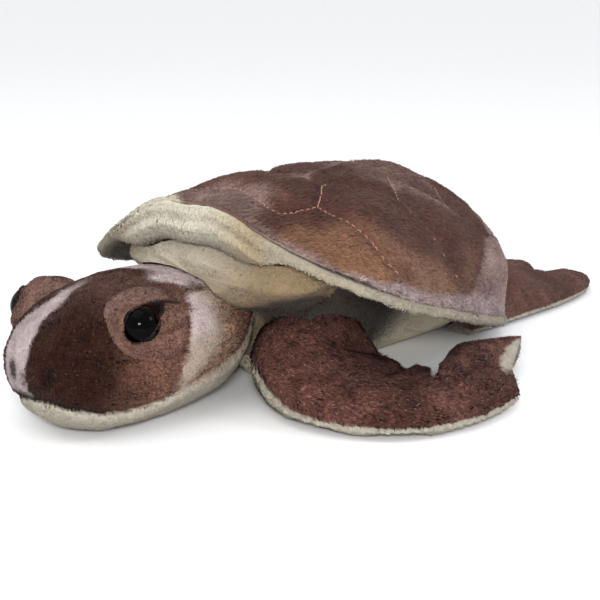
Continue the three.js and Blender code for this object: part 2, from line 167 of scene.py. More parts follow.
# Camera: place in the body frame, direction by azimuth from the head and pitch below level.
CAMERA_PLACE = (367.2, -374.1, 180)
CAMERA_AZIMUTH, CAMERA_PITCH = math.radians(44), math.radians(15.7)
CAMERA_LENS = 72

# ---- colours


def linear(code):
    """A hex colour as linear red, green and blue."""
    srgb = np.array([int(code[i:i + 2], 16) for i in (0, 2, 4)]) / 255
    return np.where(srgb <= 0.04045, srgb / 12.92, ((srgb + 0.055) / 1.055) ** 2.4)


CREAM = linear("c9bda8")
CREAM_HEM = linear("a99e8b")
# Painted light: the hem's cream, lighter where its front edge faces the light.
HEM_FRONT_LIT = linear("e2dac6")
# Painted shade: the neck's cream where it lies in shade under the hem.
CREAM_SHADED = linear("9a876a")
# Painted light: the trunk's cream, lighter than the neck's to make up for the shade under the shell.
CREAM_TRUNK_LIT = linear("f2e6cc")
CREAM_JAW = linear("b7af9f")
DARK = linear("4a2e28")
FLIPPER = linear("5f3d35")
FLIPPER_LIGHT = linear("6f4c43")
HIND = linear("75574f")
SNOUT = linear("341c15")
BROWN = linear("805a4a")
SHELL_DARK = linear("593c36")
SHELL_BROWN = linear("6b4b42")
GOLD = linear("926f58")
MAUVE = linear("b69a93")
PINK = linear("cdbcbb")
BAND = linear("b3a292")
CHEEK = linear("9e7c67")
PATCH_BROWN = linear("8a675b")
PATCH_RIM = linear("8d6d62")
INK = linear("140d0c")
IRIS = linear("2e130f")
ROOT_SHADE = linear("2c1a10")
# Painted highlight: the pale tip of a tuft that catches the light.
GLINT = linear("b9a3a0")
COPPER = linear("a06a4b")

# ---- small helpers


def through(stations):
    """A smooth curve through stations (t, value), held flat beyond the ends."""
    t, v = np.array(stations, float).T
    last = len(t) - 1
    low = np.maximum(np.arange(last + 1) - 1, 0)
    high = np.minimum(np.arange(last + 1) + 1, last)
    slope = (v[high] - v[low]) / (t[high] - t[low])

    def at(x):
        x = np.clip(x, t[0], t[-1])
        i = np.clip(np.searchsorted(t, x, side="right") - 1, 0, last - 1)
        span = t[i + 1] - t[i]
        u = (x - t[i]) / span
        eased = (3 - 2 * u) * u * u
        lean = u * (1 - u) * ((1 - u) * slope[i] - u * slope[i + 1]) * span
        return v[i] * (1 - eased) + v[i + 1] * eased + lean

    return at


def plan_curve(points):
    """A Catmull-Rom curve through plan points, read by t from 0 to 1."""
    p = np.array(points, float)
    last = len(p) - 1

    def at(t):
        place = np.clip(t, 0, 1) * last
        i = np.minimum(place.astype(int), last - 1)
        u = (place - i)[:, None]
        a, b = p[np.maximum(i - 1, 0)], p[i]
        c, d = p[i + 1], p[np.minimum(i + 2, last)]
        v0, v1 = (c - a) / 2, (d - b) / 2
        return (2 * b - 2 * c + v0 + v1) * u**3 + (3 * (c - b) - 2 * v0 - v1) * u**2 + v0 * u + b

    return at


def signed_power(x, power):
    return np.sign(x) * np.abs(x) ** power


def ramp(x, low, high):
    """0 below low and 1 above high."""
    u = np.clip((x - low) / (high - low), 0, 1)
    return u * u * (3 - 2 * u)


def fades(x, low, high):
    """1 below low and 0 above high."""
    return ramp(-x, -high, -low)


def bump(x, middle, width):
    """A bell of height 1."""
    return np.exp(-(((x - middle) / width) ** 2))


def mix(a, b, share):
    """Colours a and b, with share as one number or one for each row."""
    share = np.reshape(np.clip(share, 0, 1), (-1, 1))
    return a * (1 - share) + b * share


def layered(colour, *layers):
    """Lays each (colour, share) over what is there."""
    for over, share in layers:
        colour = mix(colour, over, share)
    return colour


def unit(v):
    return v / np.maximum(np.linalg.norm(v, axis=-1, keepdims=True), 1e-9)


def lattice(i, j, k, seed):
    """A repeatable number from -1 to 1 for each lattice point."""
    n = (i * 73856093) ^ (j * 19349663) ^ (k * 83492791) ^ (seed * 40503)
    n = ((n ^ (n >> 13)) * 1274126177) & 0x7FFFFFFF
    n = ((n ^ (n >> 15)) * 668265263) & 0x7FFFFFFF
    return ((n >> 8) & 0xFFFF) / 32767.5 - 1


def noise(p, size, seed=0):
    """Smooth value noise from -1 to 1, with features about size millimetres across."""
    q = p / size
    cell = np.floor(q).astype(np.int64)
    f = q - cell
    f = f * f * (3 - 2 * f)
    total = 0
    for corner in range(8):
        step = np.array([corner & 1, corner >> 1 & 1, corner >> 2 & 1])
        weight = np.prod(np.where(step, f, 1 - f), axis=1)
        i, j, k = (cell + step).T
        total = total + weight * lattice(i, j, k, seed)
    return total


def lumps(p, layers):
    """Noise of several sizes; each layer is (height, size, seed)."""
    return sum(height * noise(p, size, seed) for height, size, seed in layers)


def full_turn(count):
    """Angles round a closed section, as a row."""
    return np.linspace(0, 2 * np.pi, count + 1)[None, :-1]


def rotated(x, y, angle):
    """Plane coordinates turned by an angle."""
    c, s = math.cos(angle), math.sin(angle)
    return x * c - y * s, x * s + y * c


def even_angles(point, count):
    """Angles round a closed outline that are evenly spaced along it."""
    dense = np.linspace(0, 2 * np.pi, 6001)
    x, y = point(dense)
    along = np.concatenate([[0], np.cumsum(np.hypot(np.diff(x), np.diff(y)))])
    return np.interp(np.arange(count) / count * along[-1], along, dense)


def to_model(points):
    """Millimetres in the body frame to metres in the model's frame."""
    return (points + [0, SHIFT_Y, 0]) * MM


# ---- closed surfaces


class Skin:
    """A closed triangle mesh with fields: values for each vertex, such as its paint and its nap."""

    def __init__(self, points, triangles, fields=None):
        self.points = points
        self.triangles = triangles
        self.fields = fields or {}

    def corners(self):
        return self.points[self.triangles]

    def face_normals(self):
        a, b, c = np.moveaxis(self.corners(), 1, 0)
        return np.cross(b - a, c - a)

    def normals(self):
        faces = self.face_normals()
        total = np.zeros_like(self.points)
        for axis in range(3):
            for corner in self.triangles.T:
                total[:, axis] += np.bincount(corner, faces[:, axis], len(self.points))
        return unit(total)

    def face_out(self):
        if np.einsum("ij,ij->", self.corners()[:, 0], self.face_normals()) < 0:
            self.triangles = self.triangles[:, ::-1].copy()
        return self

    def moved(self, distance):
        """The same surface moved out along its normals, without going under the floor."""
        points = self.points + self.normals() * np.reshape(distance, (-1, 1))
        return Skin(on_floor(points), self.triangles, self.fields)

    def relaxed(self, share, rounds):
        """Evens out bumps: each point moves by its own share towards its neighbours' middle."""
        start, end = np.concatenate([self.triangles[:, [i, (i + 1) % 3]] for i in range(3)]).T
        total = len(self.points)
        count = np.bincount(start, minlength=total)[:, None]
        for _ in range(rounds):
            near = [np.bincount(start, self.points[end, axis], total) for axis in range(3)]
            self.points = self.points + share[:, None] * (np.stack(near, 1) / count - self.points)
        return self

    def field(self, name):
        """A field, or zeros where the skin hasn't got it."""
        return self.fields.get(name, np.zeros(len(self.points)))

    def fitted(self, **values):
        self.fields.update(values)
        return self


def on_floor(points, level=0.0):
    points = points.copy()
    points[:, 2] = np.maximum(points[:, 2], level)
    return points


def over_rings(rings, fields=None):
    """A closed surface over rings of equally many points; rings is (ring, around, 3)."""
    count, around = rings.shape[:2]
    points = np.concatenate([rings.reshape(-1, 3), rings[:1].mean(1), rings[-1:].mean(1)])
    r, k = np.meshgrid(np.arange(count - 1), np.arange(around), indexing="ij")
    a = (r * around + k).ravel()
    b = (r * around + (k + 1) % around).ravel()
    k = np.arange(around)
    ahead = (k + 1) % around
    first, last, top = count * around, count * around + 1, (count - 1) * around
    triangles = np.concatenate([
        np.stack([a, b, b + around], 1),
        np.stack([a, b + around, a + around], 1),
        np.stack([np.full(around, first), ahead, k], 1),
        np.stack([np.full(around, last), top + k, top + ahead], 1),
    ])
    flat = {}
    for name, grid in (fields or {}).items():
        size = grid.shape[2:]
        flat[name] = np.concatenate([grid.reshape(-1, *size), grid[:1].mean(1), grid[-1:].mean(1)])
    return Skin(points, triangles, flat).face_out()


def arc_from_seams(rings):
    """For every point of every ring, the distance along the ring to its nearer seam."""
    step = np.linalg.norm(np.roll(rings, -1, axis=1) - rings, axis=2)
    along = np.cumsum(step, axis=1) - step
    whole = step.sum(axis=1, keepdims=True)
    half = along[:, rings.shape[1] // 2][:, None]
    return np.minimum(np.minimum(along, whole - along), np.abs(along - half))


# ---- shell and hem

SHELL_CENTRE = (SHELL_REAR - SHELL_FRONT) / 2
SHELL_AROUND = 300
# Rings as shares of the way from the middle to the edge: over the dome, then back underneath.
DOME_SHARES = np.concatenate([np.linspace(0.02, 0.9, 56), np.linspace(0.91, 1, 12)])
UNDER_SHARES = np.array([0.97, 0.93, 0.6, 0.08])
HEM_UNDER_SHARES = np.linspace(0.08, 0.96, 26)
HEM_ROLL_ANGLES = np.linspace(-np.pi / 2, np.pi / 2, 22)[1:-1]
HEM_UPPER_SHARES = np.array([0.97, 0.9, 0.6, 0.08])
INSIDE_ROLL, ABOVE_ROLL = 99.0, -9.0  # the hem's "down" where there is no rolled edge

# Relief, in millimetres; each layer of lumps is its height, size and seed.
VALLEY_DEPTH, VALLEY_HALF = 1.8, 2.6
FAR_SHALLOWER, FAR_WIDER = 0.9, 2  # the quilting is softer on the turtle's right
PUFF, PUFF_REACH = 0.9, 10
PUCKER, PUCKER_PITCH, PUCKER_START, PUCKER_REACH = 0.3, 6.4, 1.2, 6.5
SHELL_LUMPS = [(0.9, 26, 5), (0.4, 11, 6)]
FLAP_STEP, FLAP_GROOVE, FLAP_GROOVE_HALF = 0.8, 1.5, 1.7
HEM_SEAM_DOWN, HEM_SEAM_DEPTH, HEM_SEAM_HALF = 6.2, 1.1, 1.2
HEM_SWELLS = [(0.8, 3.0, 2.0), (1.0, 9.5, 2.2)]  # height, how far down and half width
HEM_CRIMP, HEM_CRIMP_PITCH, HEM_CRIMP_REACH = 0.25, 5.2, 3.2
HEM_SHAG = [(0.3, 4.5, 9), (0.4, 13, 10)]
HEM_FLUFF = 0.4

rim_height = through(RIM_HEIGHT)


def rim_plan(angle):
    """The shell's edge in plan, squarer in front than behind."""
    forward = np.cos(angle)
    front = forward > 0
    length = np.where(front, SHELL_FRONT, SHELL_REAR)
    power = 2 / np.where(front, SHELL_FRONT_SQUARENESS, SHELL_REAR_SQUARENESS)
    return SHELL_HALF_WIDTH * signed_power(np.sin(angle), power), -length * signed_power(forward, power)


def rim_points(count):
    """Points on the shell's edge, how far each sags and its bearing from the front."""
    x, y = rim_plan(even_angles(rim_plan, count))
    bearing = np.degrees(np.arctan2(np.abs(x), -y))
    droop = np.where(x < 0, np.exp(-(((bearing - DROOP_ANGLE) / DROOP_SPREAD) ** 2) * 2), 0)
    sag = DROOP_DEPTH * droop
    return np.stack([x - DROOP_FLARE * droop, y, rim_height(bearing) - sag], 1), sag, bearing


rim, rim_sag, rim_bearing = rim_points(SHELL_AROUND)
wall_slope, wall_bulge = through(WALL_SLOPE)(rim_bearing), through(WALL_BULGE)(rim_bearing)


def shell_ring(share, outward, heights):
    """A ring part way (0 to 1) from the shell's middle to its edge."""
    flat = rim[:, :2] - [0, SHELL_CENTRE]
    stretch = share + outward / np.linalg.norm(flat, axis=1)
    plan = flat * np.reshape(stretch, (-1, 1)) + [0, SHELL_CENTRE]
    return np.column_stack([plan, heights])


def dome_height(share):
    edge = rim[:, 2] + rim_sag
    return edge + (SHELL_CROWN - edge) * (1 - share**2) ** wall_slope - rim_sag * share**DROOP_FADE


def underside_height(share):
    return SHELL_HOLLOW + (rim[:, 2] - SHELL_HOLLOW) * share**1.5


def scute_segments():
    """Every border's segments as (start, end, length before the start), both halves."""
    rows = []
    for side in (1, -1):
        for border in SCUTE_BORDERS:
            points = np.array(border, float) * [side, 1]
            before = 0
            for a, b in zip(points[:-1], points[1:]):
                rows.append((*a, *b, before))
                before += np.linalg.norm(b - a)
    return np.array(rows)


SEGMENTS = scute_segments()


def from_borders(plan):
    """Distance of plan points from the nearest scute border, and how far along it they lie."""
    a, b, before = SEGMENTS[:, :2], SEGMENTS[:, 2:4], SEGMENTS[:, 4]
    run = b - a
    length = np.linalg.norm(run, axis=1)
    gap = plan[:, None] - a
    t = np.clip((gap * run).sum(2) / length**2, 0, 1)
    distance = np.linalg.norm(gap - t[..., None] * run, axis=2)
    nearest = distance.argmin(1)
    rows = np.arange(len(plan))
    return distance[rows, nearest], (before + t * length)[rows, nearest]


def all_round(values):
    """One value for each ring, the same all round it."""
    return np.repeat(values[:, None], SHELL_AROUND, 1).astype(float)


def on_each_ring(values, count):
    """One value for each point of the rim, the same on every ring."""
    return np.repeat(values[None], count, 0)


def shell_skin():
    """The quilted dome, closed underneath."""
    dome = [shell_ring(s, wall_bulge * math.sin(math.pi * s**4), dome_height(s)) for s in DOME_SHARES]
    under = [shell_ring(s, 0, underside_height(s)) for s in UNDER_SHARES]
    shares = np.concatenate([DOME_SHARES, UNDER_SHARES])
    fields = {
        "share": all_round(shares),
        "bearing": on_each_ring(rim_bearing, len(shares)),
        "rim_z": on_each_ring(rim[:, 2], len(shares)),
        "bare": all_round(np.arange(len(shares)) > len(DOME_SHARES)),
    }
    return quilted(over_rings(np.stack(dome + under), fields))


def flap_distance(skin):
    """How far, in millimetres, a point of the shell lies inside the rear margin's sewn line."""
    p = skin.points
    return through(FLAP_RISE)(p[:, 1]) - (p[:, 2] - skin.fields["rim_z"]) + noise(p, 12, 7)


def on_flap(skin):
    return ramp(flap_distance(skin), -0.5, 1.5)


def quilted(skin):
    """Scutes puffed up between stitched valleys, with puckers across the stitching."""
    p = skin.points
    top = 1 - skin.fields["bare"]
    distance, along = from_borders(p[:, :2])
    skin.fields["short"] = top * bump(distance, 0, 1.6)
    far = fades(p[:, 0], -4, 4)
    valley = -(VALLEY_DEPTH - FAR_SHALLOWER * far) * bump(distance, 0, VALLEY_HALF + FAR_WIDER * far)
    puff = PUFF * (1 - bump(distance, 0, PUFF_REACH))
    wave = np.sin(along * 2 * np.pi / PUCKER_PITCH + 2.2 * noise(p, 14, 3))
    pucker = PUCKER * wave * bump(distance, 0, PUCKER_REACH) * (1 - bump(distance, 0, PUCKER_START))
    groove = FLAP_GROOVE * bump(flap_distance(skin), 0, FLAP_GROOVE_HALF)
    flap = top * ramp(p[:, 1], 25, 55) * (FLAP_STEP * on_flap(skin) - groove)
    inside = top * fades(skin.fields["share"], 0.9, 0.97)
    return skin.moved(inside * (valley + puff + pucker + lumps(p, SHELL_LUMPS)) + flap)


def hem_skin():
    """The shell's cream underside with its rolled edge, thickest in the middle of the front."""
    narrow = ramp(np.abs(rim[:, 0]), *HEM_FRONT_WIDTH)
    front = np.clip(-rim[:, 1] / SHELL_FRONT, 0, 1) * (1 - narrow)
    edge = HEM_EDGE + (HEM_FRONT - HEM_EDGE) * front

    def upper(share):
        return underside_height(share) - SEAM_GAP

    def lower(share):
        return upper(share) - (HEM_INNER + (edge - HEM_INNER) * share**3)

    middle, half = (upper(1) + lower(1)) / 2, (upper(1) - lower(1)) / 2
    rings = [shell_ring(share, 0, lower(share)) for share in HEM_UNDER_SHARES]
    down = [np.full(SHELL_AROUND, INSIDE_ROLL) for _ in HEM_UNDER_SHARES]
    for angle in HEM_ROLL_ANGLES:
        outward = HEM_OVERHANG * math.cos(angle) ** 0.7 - 0.2 * half * (1 - math.cos(angle))
        rings.append(shell_ring(1, outward, middle + half * math.sin(angle)))
        down.append(half * (1 - math.sin(angle)))
    rings += [shell_ring(share, 0, upper(share)) for share in HEM_UPPER_SHARES]
    down = np.stack(down + [np.full(SHELL_AROUND, ABOVE_ROLL) for _ in HEM_UPPER_SHARES])
    fields = {"down": down, "bare": (down < 0).astype(float), "front": on_each_ring(front, len(rings))}
    return crimped(over_rings(np.stack(rings), fields))


def crimped(skin):
    """The hem's sewn line with a swell on both sides of it, crimps across it and fluffy pile."""
    p, down = skin.points, skin.fields["down"]
    thick = ramp(skin.fields["front"], 0.35, 0.7)
    seam = -HEM_SEAM_DEPTH * bump(down, HEM_SEAM_DOWN, HEM_SEAM_HALF) * thick
    swell = sum(height * bump(down, middle, half) * thick for height, middle, half in HEM_SWELLS)
    wave = np.sin(p[:, 0] * 2 * np.pi / HEM_CRIMP_PITCH + 2 * noise(p, 12, 8))
    crimp = HEM_CRIMP * wave * bump(down, HEM_SEAM_DOWN, HEM_CRIMP_REACH) * thick
    shag = lumps(p, HEM_SHAG) + HEM_FLUFF
    return skin.moved(seam + swell + crimp + shag * (down > -1))


# ---- body and head

body_half_width, body_top = through(BODY_HALF_WIDTH), through(BODY_TOP)
body_middle, body_bottom = through(BODY_MIDDLE), through(BODY_BOTTOM)


def section(angle, squareness, half_width, middle, top, bottom, under=None):
    """Across and up of a superellipse with its own top and bottom, and squareness below."""
    power = 2 / np.where(np.sin(angle) > 0, squareness, under or squareness)
    across = half_width * signed_power(np.cos(angle), power)
    reach = np.where(np.sin(angle) > 0, top - middle, middle - bottom)
    return across, middle + reach * signed_power(np.sin(angle), power)


def rounded_stations(start, end, count, easing=0.8):
    """Stations from start to end, closer together near both ends."""
    even = np.arange(count + 1) / count
    return start + (end - start) * ((1 - easing) * even + easing * (1 - np.cos(np.pi * even)) / 2)


NECK_RINGS, TRUNK_RINGS, BODY_AROUND = 60, 90, 120
HEAD_RINGS, HEAD_AROUND = 96, 144
NECK_LUMPS, TRUNK_LUMPS = [(0.8, 22, 11)], [(0.8, 24, 14), (0.35, 9, 15)]
NECK_FOLD, NECK_FOLD_PITCH = 0.5, 13
HEAD_SQUARENESS = 2.25
MOUTH_GROOVE, MOUTH_GROOVE_HALF = 1.1, 1.3
JOWL, JOWL_BELOW, JOWL_REACH = 0.5, 4, 3
MOUTH_PUCKER, MOUTH_PUCKER_PITCH, MOUTH_PUCKER_REACH = 0.22, 5.5, 4
HEAD_LUMPS = [(0.7, 20, 21), (0.4, 8, 22), (0.15, 3.6, 23)]


def body_skin(start, end, count, wrinkles):
    """The trunk or the neck: one length of the body."""
    y = rounded_stations(start, end, count)[:, None]
    reach = body_middle(y), body_top(y), body_bottom(y)
    x, z = section(full_turn(BODY_AROUND), BODY_SQUARENESS, body_half_width(y), *reach, BODY_UNDER)
    skin = over_rings(np.stack([x, np.broadcast_to(y, x.shape), z], 2))
    skin.points = on_floor(drawn_in(skin.points))
    return skin.moved(wrinkles(skin.points))


def drawn_in(p):
    """The body's sides pulled inwards just over the fore flippers' roots."""
    side = np.column_stack([np.abs(p[:, 0]), p[:, 1], p[:, 2]])
    near = np.linalg.norm(side - ROOT_NOOK, axis=1)
    inward = unit(np.column_stack([-p[:, 0], 0 * p[:, 1], body_middle(p[:, 1]) - p[:, 2]]) + 1e-6)
    return p + ROOT_NOOK_DEPTH * bump(near, 0, ROOT_NOOK_REACH)[:, None] * inward


def neck_wrinkles(p):
    """Soft folds that run round the neck, deepest where it tucks under the shell."""
    sweep = p[:, 2] + 0.25 * p[:, 0] + 5 * noise(p, 30, 12)
    fold = NECK_FOLD * np.sin(sweep * 2 * np.pi / NECK_FOLD_PITCH)
    return lumps(p, NECK_LUMPS) + fold * ramp(p[:, 2], 30, 50)


def trunk_wrinkles(p):
    return lumps(p, TRUNK_LUMPS)


def head_place(side, forward, height):
    """From the head's own frame to the body frame."""
    x, z = rotated(side, height - HEAD_HINGE, HEAD_ROLL)
    x, y = rotated(x, -forward, HEAD_TURN)
    return np.stack(np.broadcast_arrays(x + HEAD_X, y + HEAD_Y, np.maximum(z + HEAD_HINGE, 0)), -1)


def head_frame(p):
    """From the body frame to the head's own: side, forward and height."""
    x, y = rotated(p[:, 0] - HEAD_X, p[:, 1] - HEAD_Y, -HEAD_TURN)
    x, z = rotated(x, p[:, 2] - HEAD_HINGE, -HEAD_ROLL)
    return x, -y, z + HEAD_HINGE


mouth_seam = through(MOUTH_SEAM)


def head_skin():
    """The head, with a groove and puckers along the seam between brown and cream."""
    forward = rounded_stations(HEAD_BACK, HEAD_FRONT, HEAD_RINGS)[:, None]
    profile = [through(curve)(forward) for curve in (HEAD_HALF_WIDTH, HEAD_MIDDLE, HEAD_TOP, HEAD_BOTTOM)]
    side, height = section(full_turn(HEAD_AROUND), HEAD_SQUARENESS, *profile)
    skin = over_rings(head_place(side, np.broadcast_to(forward, side.shape), height))
    _, forward, height = head_frame(skin.points)
    above = height - mouth_seam(forward)
    groove = -MOUTH_GROOVE * bump(above, 0, MOUTH_GROOVE_HALF) + JOWL * bump(above, -JOWL_BELOW, JOWL_REACH)
    pucker = MOUTH_PUCKER * np.sin(forward * 2 * np.pi / MOUTH_PUCKER_PITCH)
    pucker = pucker * bump(above, 0, MOUTH_PUCKER_REACH)
    return skin.moved(groove + pucker + lumps(skin.points, HEAD_LUMPS))


def eye_axes(side):
    """Rotation of an eye (outward, backward and up as x, y, z) and the middle of its patch."""
    c, s = math.cos(-EYE_TILT * side), math.sin(-EYE_TILT * side)
    tilt = np.array([[c, 0, s], [0, 1, 0], [-s, 0, c]])
    turn = HEAD_TURN - EYE_TURN * side
    c, s = math.cos(turn), math.sin(turn)
    around = np.array([[c, -s, 0], [s, c, 0], [0, 0, 1]])
    across, ahead, height = EYE_SOCKET
    middle = head_place(np.array(side * across), np.array(ahead), np.array(height))
    return around @ tilt, middle


def ellipsoid(half_sizes, polar, around):
    """Rings of an ellipsoid whose poles lie on the outward axis, at angles from that axis."""
    polar = np.reshape(polar, (-1, 1))
    angle = full_turn(around)
    out = np.broadcast_to(np.cos(polar), (len(polar), around))
    return np.stack([out, np.sin(polar) * np.cos(angle), np.sin(polar) * np.sin(angle)], 2) * half_sizes


# The opening between the lids, forward and up from the button's middle, and the slit behind it.
UPPER_LID = [
    (7.4, -1.6), (5.8, 2.3), (5.0, 3.9), (2.5, 5.6), (0, 6.6), (-2.9, 7.0), (-7.0, 7.2), (-9.2, 7.2),
]
LOWER_LID = [
    (-8.9, 5.0), (-8.6, 3.2), (-7.2, 1.9), (-5.8, 0.1), (-4.5, -1.8), (-3.3, -3.4), (-1.2, -5.1),
    (1.2, -6.6), (3.3, -7.0), (5.4, -6.6), (7.0, -4.7),
]
LID_SLIT = [(-9.0, 7.0), (-18.5, 7.3)]
LID_COVER = 0.8  # how far the lids stand over the button
LID_RING = 12.9  # least outward height of the fabric just round the button
LID_REACH, BROW, BROW_REACH = 3.6, 0.9, 4.5
SLIT_DEPTH, SLIT_HALF = 1.5, 0.55
LID_TUCK = 1.5  # how deep the fabric lies under the button
PUPIL_EDGE = (5.2, 6.4)  # from the button's middle
# The patch's rings, as shares of the way from its front pole to its back pole.
PATCH_FRONT, PATCH_BACK = np.linspace(0.012, 0.58, 104), np.linspace(0.62, 0.99, 12)
PATCH_AROUND, BUTTON_RINGS, BUTTON_AROUND = 200, 48, 72


def segment_distance(q, ends):
    """Distance of plane points from a chain of segments."""
    ends = np.array(ends, float)
    a, run = ends[:-1], ends[1:] - ends[:-1]
    gap = q[:, None] - a
    t = np.clip((gap * run).sum(2) / (run**2).sum(1), 0, 1)
    return np.linalg.norm(gap - t[..., None] * run, axis=2).min(1)


def inside_loop(q, loop):
    """Whether plane points lie inside a closed loop."""
    loop = np.array(loop, float)
    crossings = np.zeros(len(q), int)
    for (x0, y0), (x1, y1) in zip(loop, np.roll(loop, -1, axis=0)):
        spans = (q[:, 1] < y0) != (q[:, 1] < y1)
        at = x0 + (q[:, 1] - y0) * (x1 - x0) / (y1 - y0 if y1 != y0 else 1)
        crossings += spans & (q[:, 0] < at)
    return crossings % 2 == 1


def button_height(radius):
    return BUTTON_OFFSET[0] + BUTTON[0] * np.sqrt(np.clip(1 - (radius / BUTTON[1]) ** 2, 0, 1))


def eyelid_skin(side):
    """The raised patch round an eye, with lids that fold over the button and a slit behind it."""
    local = ellipsoid(PATCH, np.concatenate([PATCH_FRONT, PATCH_BACK]) * np.pi, PATCH_AROUND)
    fabric = local[..., 0].copy()
    out_of, ahead_of, up_of = BUTTON_OFFSET
    ahead, up = -local[..., 1] - ahead_of, local[..., 2] - up_of
    flat = np.stack([ahead, up], 2).reshape(-1, 2)
    loop = UPPER_LID + LOWER_LID
    outside = segment_distance(flat, loop + loop[:1]) * np.where(inside_loop(flat, loop), -1, 1)
    outside = outside.reshape(fabric.shape)
    slit = segment_distance(flat, LID_SLIT).reshape(fabric.shape)
    facing = ramp(fabric, 0.5, 4)
    cover = np.maximum(button_height(np.hypot(ahead, up)) + LID_COVER, LID_RING)
    near = bump(np.maximum(outside - 0.6, 0), 0, LID_REACH)
    brow = ramp(up, 3, 7) * bump(np.maximum(outside - 1.2, 0), 0, BROW_REACH)
    height = fabric + np.maximum(cover - fabric, 0) * near + BROW * brow * facing
    height = height - SLIT_DEPTH * bump(slit, 0, SLIT_HALF) * ramp(outside, -0.2, 0.6)
    height = height + (out_of - LID_TUCK - height) * (1 - ramp(outside, -0.5, 0.35))
    local[..., 0] = fabric + (height - fabric) * facing
    bare = ((outside < 0.35) | (slit < 0.5)) & (facing > 0.5)
    fields = {"ahead": ahead, "up": up, "outside": outside, "slit": slit, "bare": bare.astype(float)}
    turn, middle = eye_axes(side)
    return over_rings((local * [side, 1, 1]) @ turn.T + middle, fields)


def eye_skin(side):
    """A domed black button, with a dark brown iris that shows on its rear side."""
    local = ellipsoid(BUTTON, np.linspace(0, np.pi, BUTTON_RINGS + 2)[1:-1], BUTTON_AROUND)
    turn, middle = eye_axes(side)
    out_of, ahead_of, up_of = BUTTON_OFFSET
    rings = ((local + [out_of, -ahead_of, up_of]) * [side, 1, 1]) @ turn.T + middle
    behind = ramp(local[..., 1] + local[..., 2], 1, 5)
    skin = over_rings(rings, {"radius": np.hypot(local[..., 1], local[..., 2]), "behind": behind})
    iris = ramp(skin.fields["radius"], *PUPIL_EDGE) * skin.fields["behind"]
    return skin.fitted(paint=mix(INK * 0.15, IRIS, iris))


# ---- flippers and tail

DIP_SHARPNESS = 6
DIRECTION_REACH = 1 / 28  # share of the length over which a flipper's direction is taken
EDGE_ROUNDNESS, FACE_ROUNDNESS = 0.85, 0.9
EASING, TIP_EASING, EASING_ROUNDS = 0.04, 0.6, 14
PARTING = (0.8, 1)  # where along the flipper the tip's two lobes part
TIP_START, TIP_LENGTH = 0.955, 0.045  # where the thickness rounds off to nothing
CHANNEL = 0.3  # how much thinner a scallop's dip is
FLIPPER_GROOVE, FLIPPER_GROOVE_HALF = 0.9, 1.0
FLIPPER_PUCKER, FLIPPER_PUCKERS = 0.3, 34
FLIPPER_LUMPS = [(0.9, 19, 32), (0.45, 7, 33)]
LOBE_GROOVE, LOBE_GROOVE_HALF, SCALLOP_FOLD = 3.6, 0.045, 0.9
LOBE_LINE = through(
    [(0.62, 1), (0.64, 0.7), (0.67, 0.4), (0.72, 0.32), (0.81, 0.35), (0.92, 0.36), (1, 0.42)],
)  # where across the flipper the line between the tip's lobes lies
TAIL_BLUNTNESS, TAIL_TIP, TAIL_RINGS, TAIL_AROUND = 2.5, 0.14, 40, 48
TAIL_LUMPS = [(0.3, 8, 41)]


def scallop_dip(t, start, pitch, count):
    """1 in a notch between scallops and 0 on a crest."""
    turns = (t - start) / pitch
    return np.where((turns < 0) | (turns > count), 0, np.abs(np.cos(np.pi * turns)) ** DIP_SHARPNESS)


def flipper_edges(t, leading, trailing):
    """The front and rear edge in plan, and the direction from root to tip."""
    lead, trail = plan_curve(leading), plan_curve(trailing)
    ahead, behind = np.minimum(t + DIRECTION_REACH, 1), np.maximum(t - DIRECTION_REACH, 0)
    return lead(t), trail(t), unit(lead(ahead) + trail(ahead) - lead(behind) - trail(behind))


def flipper_rings(leading, trailing, top, lift, seams, scallops, notch, count, around):
    """Sections from root to tip, round in section, with a scalloped rear edge and a parted tip."""
    t = np.linspace(0, 1, count + 1)
    front, rear, along = flipper_edges(t, leading, trailing)
    start, pitch, depth, notches = scallops
    dip = scallop_dip(t, start, pitch, notches)
    width = np.linalg.norm(rear - front, axis=1)
    rear = rear + (front - rear) * (dip * depth / width)[:, None]
    angle = full_turn(around)[0]
    across = 0.5 - 0.5 * signed_power(np.cos(angle), EDGE_ROUNDNESS)
    plan = front[:, None] + (rear - front)[:, None] * across[None, :, None]
    pull = -notch * ramp(t, *PARTING)[:, None] * (1 - np.abs(2 * across - 1)) ** 1.2
    plan = plan + along[:, None] * pull[..., None]
    rounded = signed_power(np.sin(angle), FACE_ROUNDNESS)[None]
    thickness = through(top)(t)[:, None] * (1 - CHANNEL * (dip[:, None] * ramp(across, 0.45, 1)[None]))
    end = np.sqrt(np.clip(1 - ((t - TIP_START) / TIP_LENGTH).clip(0, 1) ** 2, 0, 1))[:, None]
    seam = through(seams)(t)[:, None] * thickness * (1 + 0.5 * ramp(t, 0.9, 1)[:, None])
    above = seam + (thickness - seam) * rounded * end
    below = seam * (1 + 1.25 * rounded * (0.3 + 0.7 * end))
    z = np.where(rounded > 0, above, below) + through(lift)(t)[:, None] * across[None] ** 1.5
    rings = np.concatenate([plan, np.maximum(z, 0)[..., None]], 2)

    def on_rings(values):
        return np.broadcast_to(values, z.shape).astype(float)

    fields = {
        "t": on_rings(t[:, None]),
        "across": on_rings(across),
        "top": on_rings(np.sin(angle) > 1e-6),
        "seam": arc_from_seams(rings),
        "short": on_rings(dip[:, None] * (across > 0.7)),
        "along": np.broadcast_to(np.pad(along, ((0, 0), (0, 1)))[:, None], rings.shape),
    }
    return rings, fields


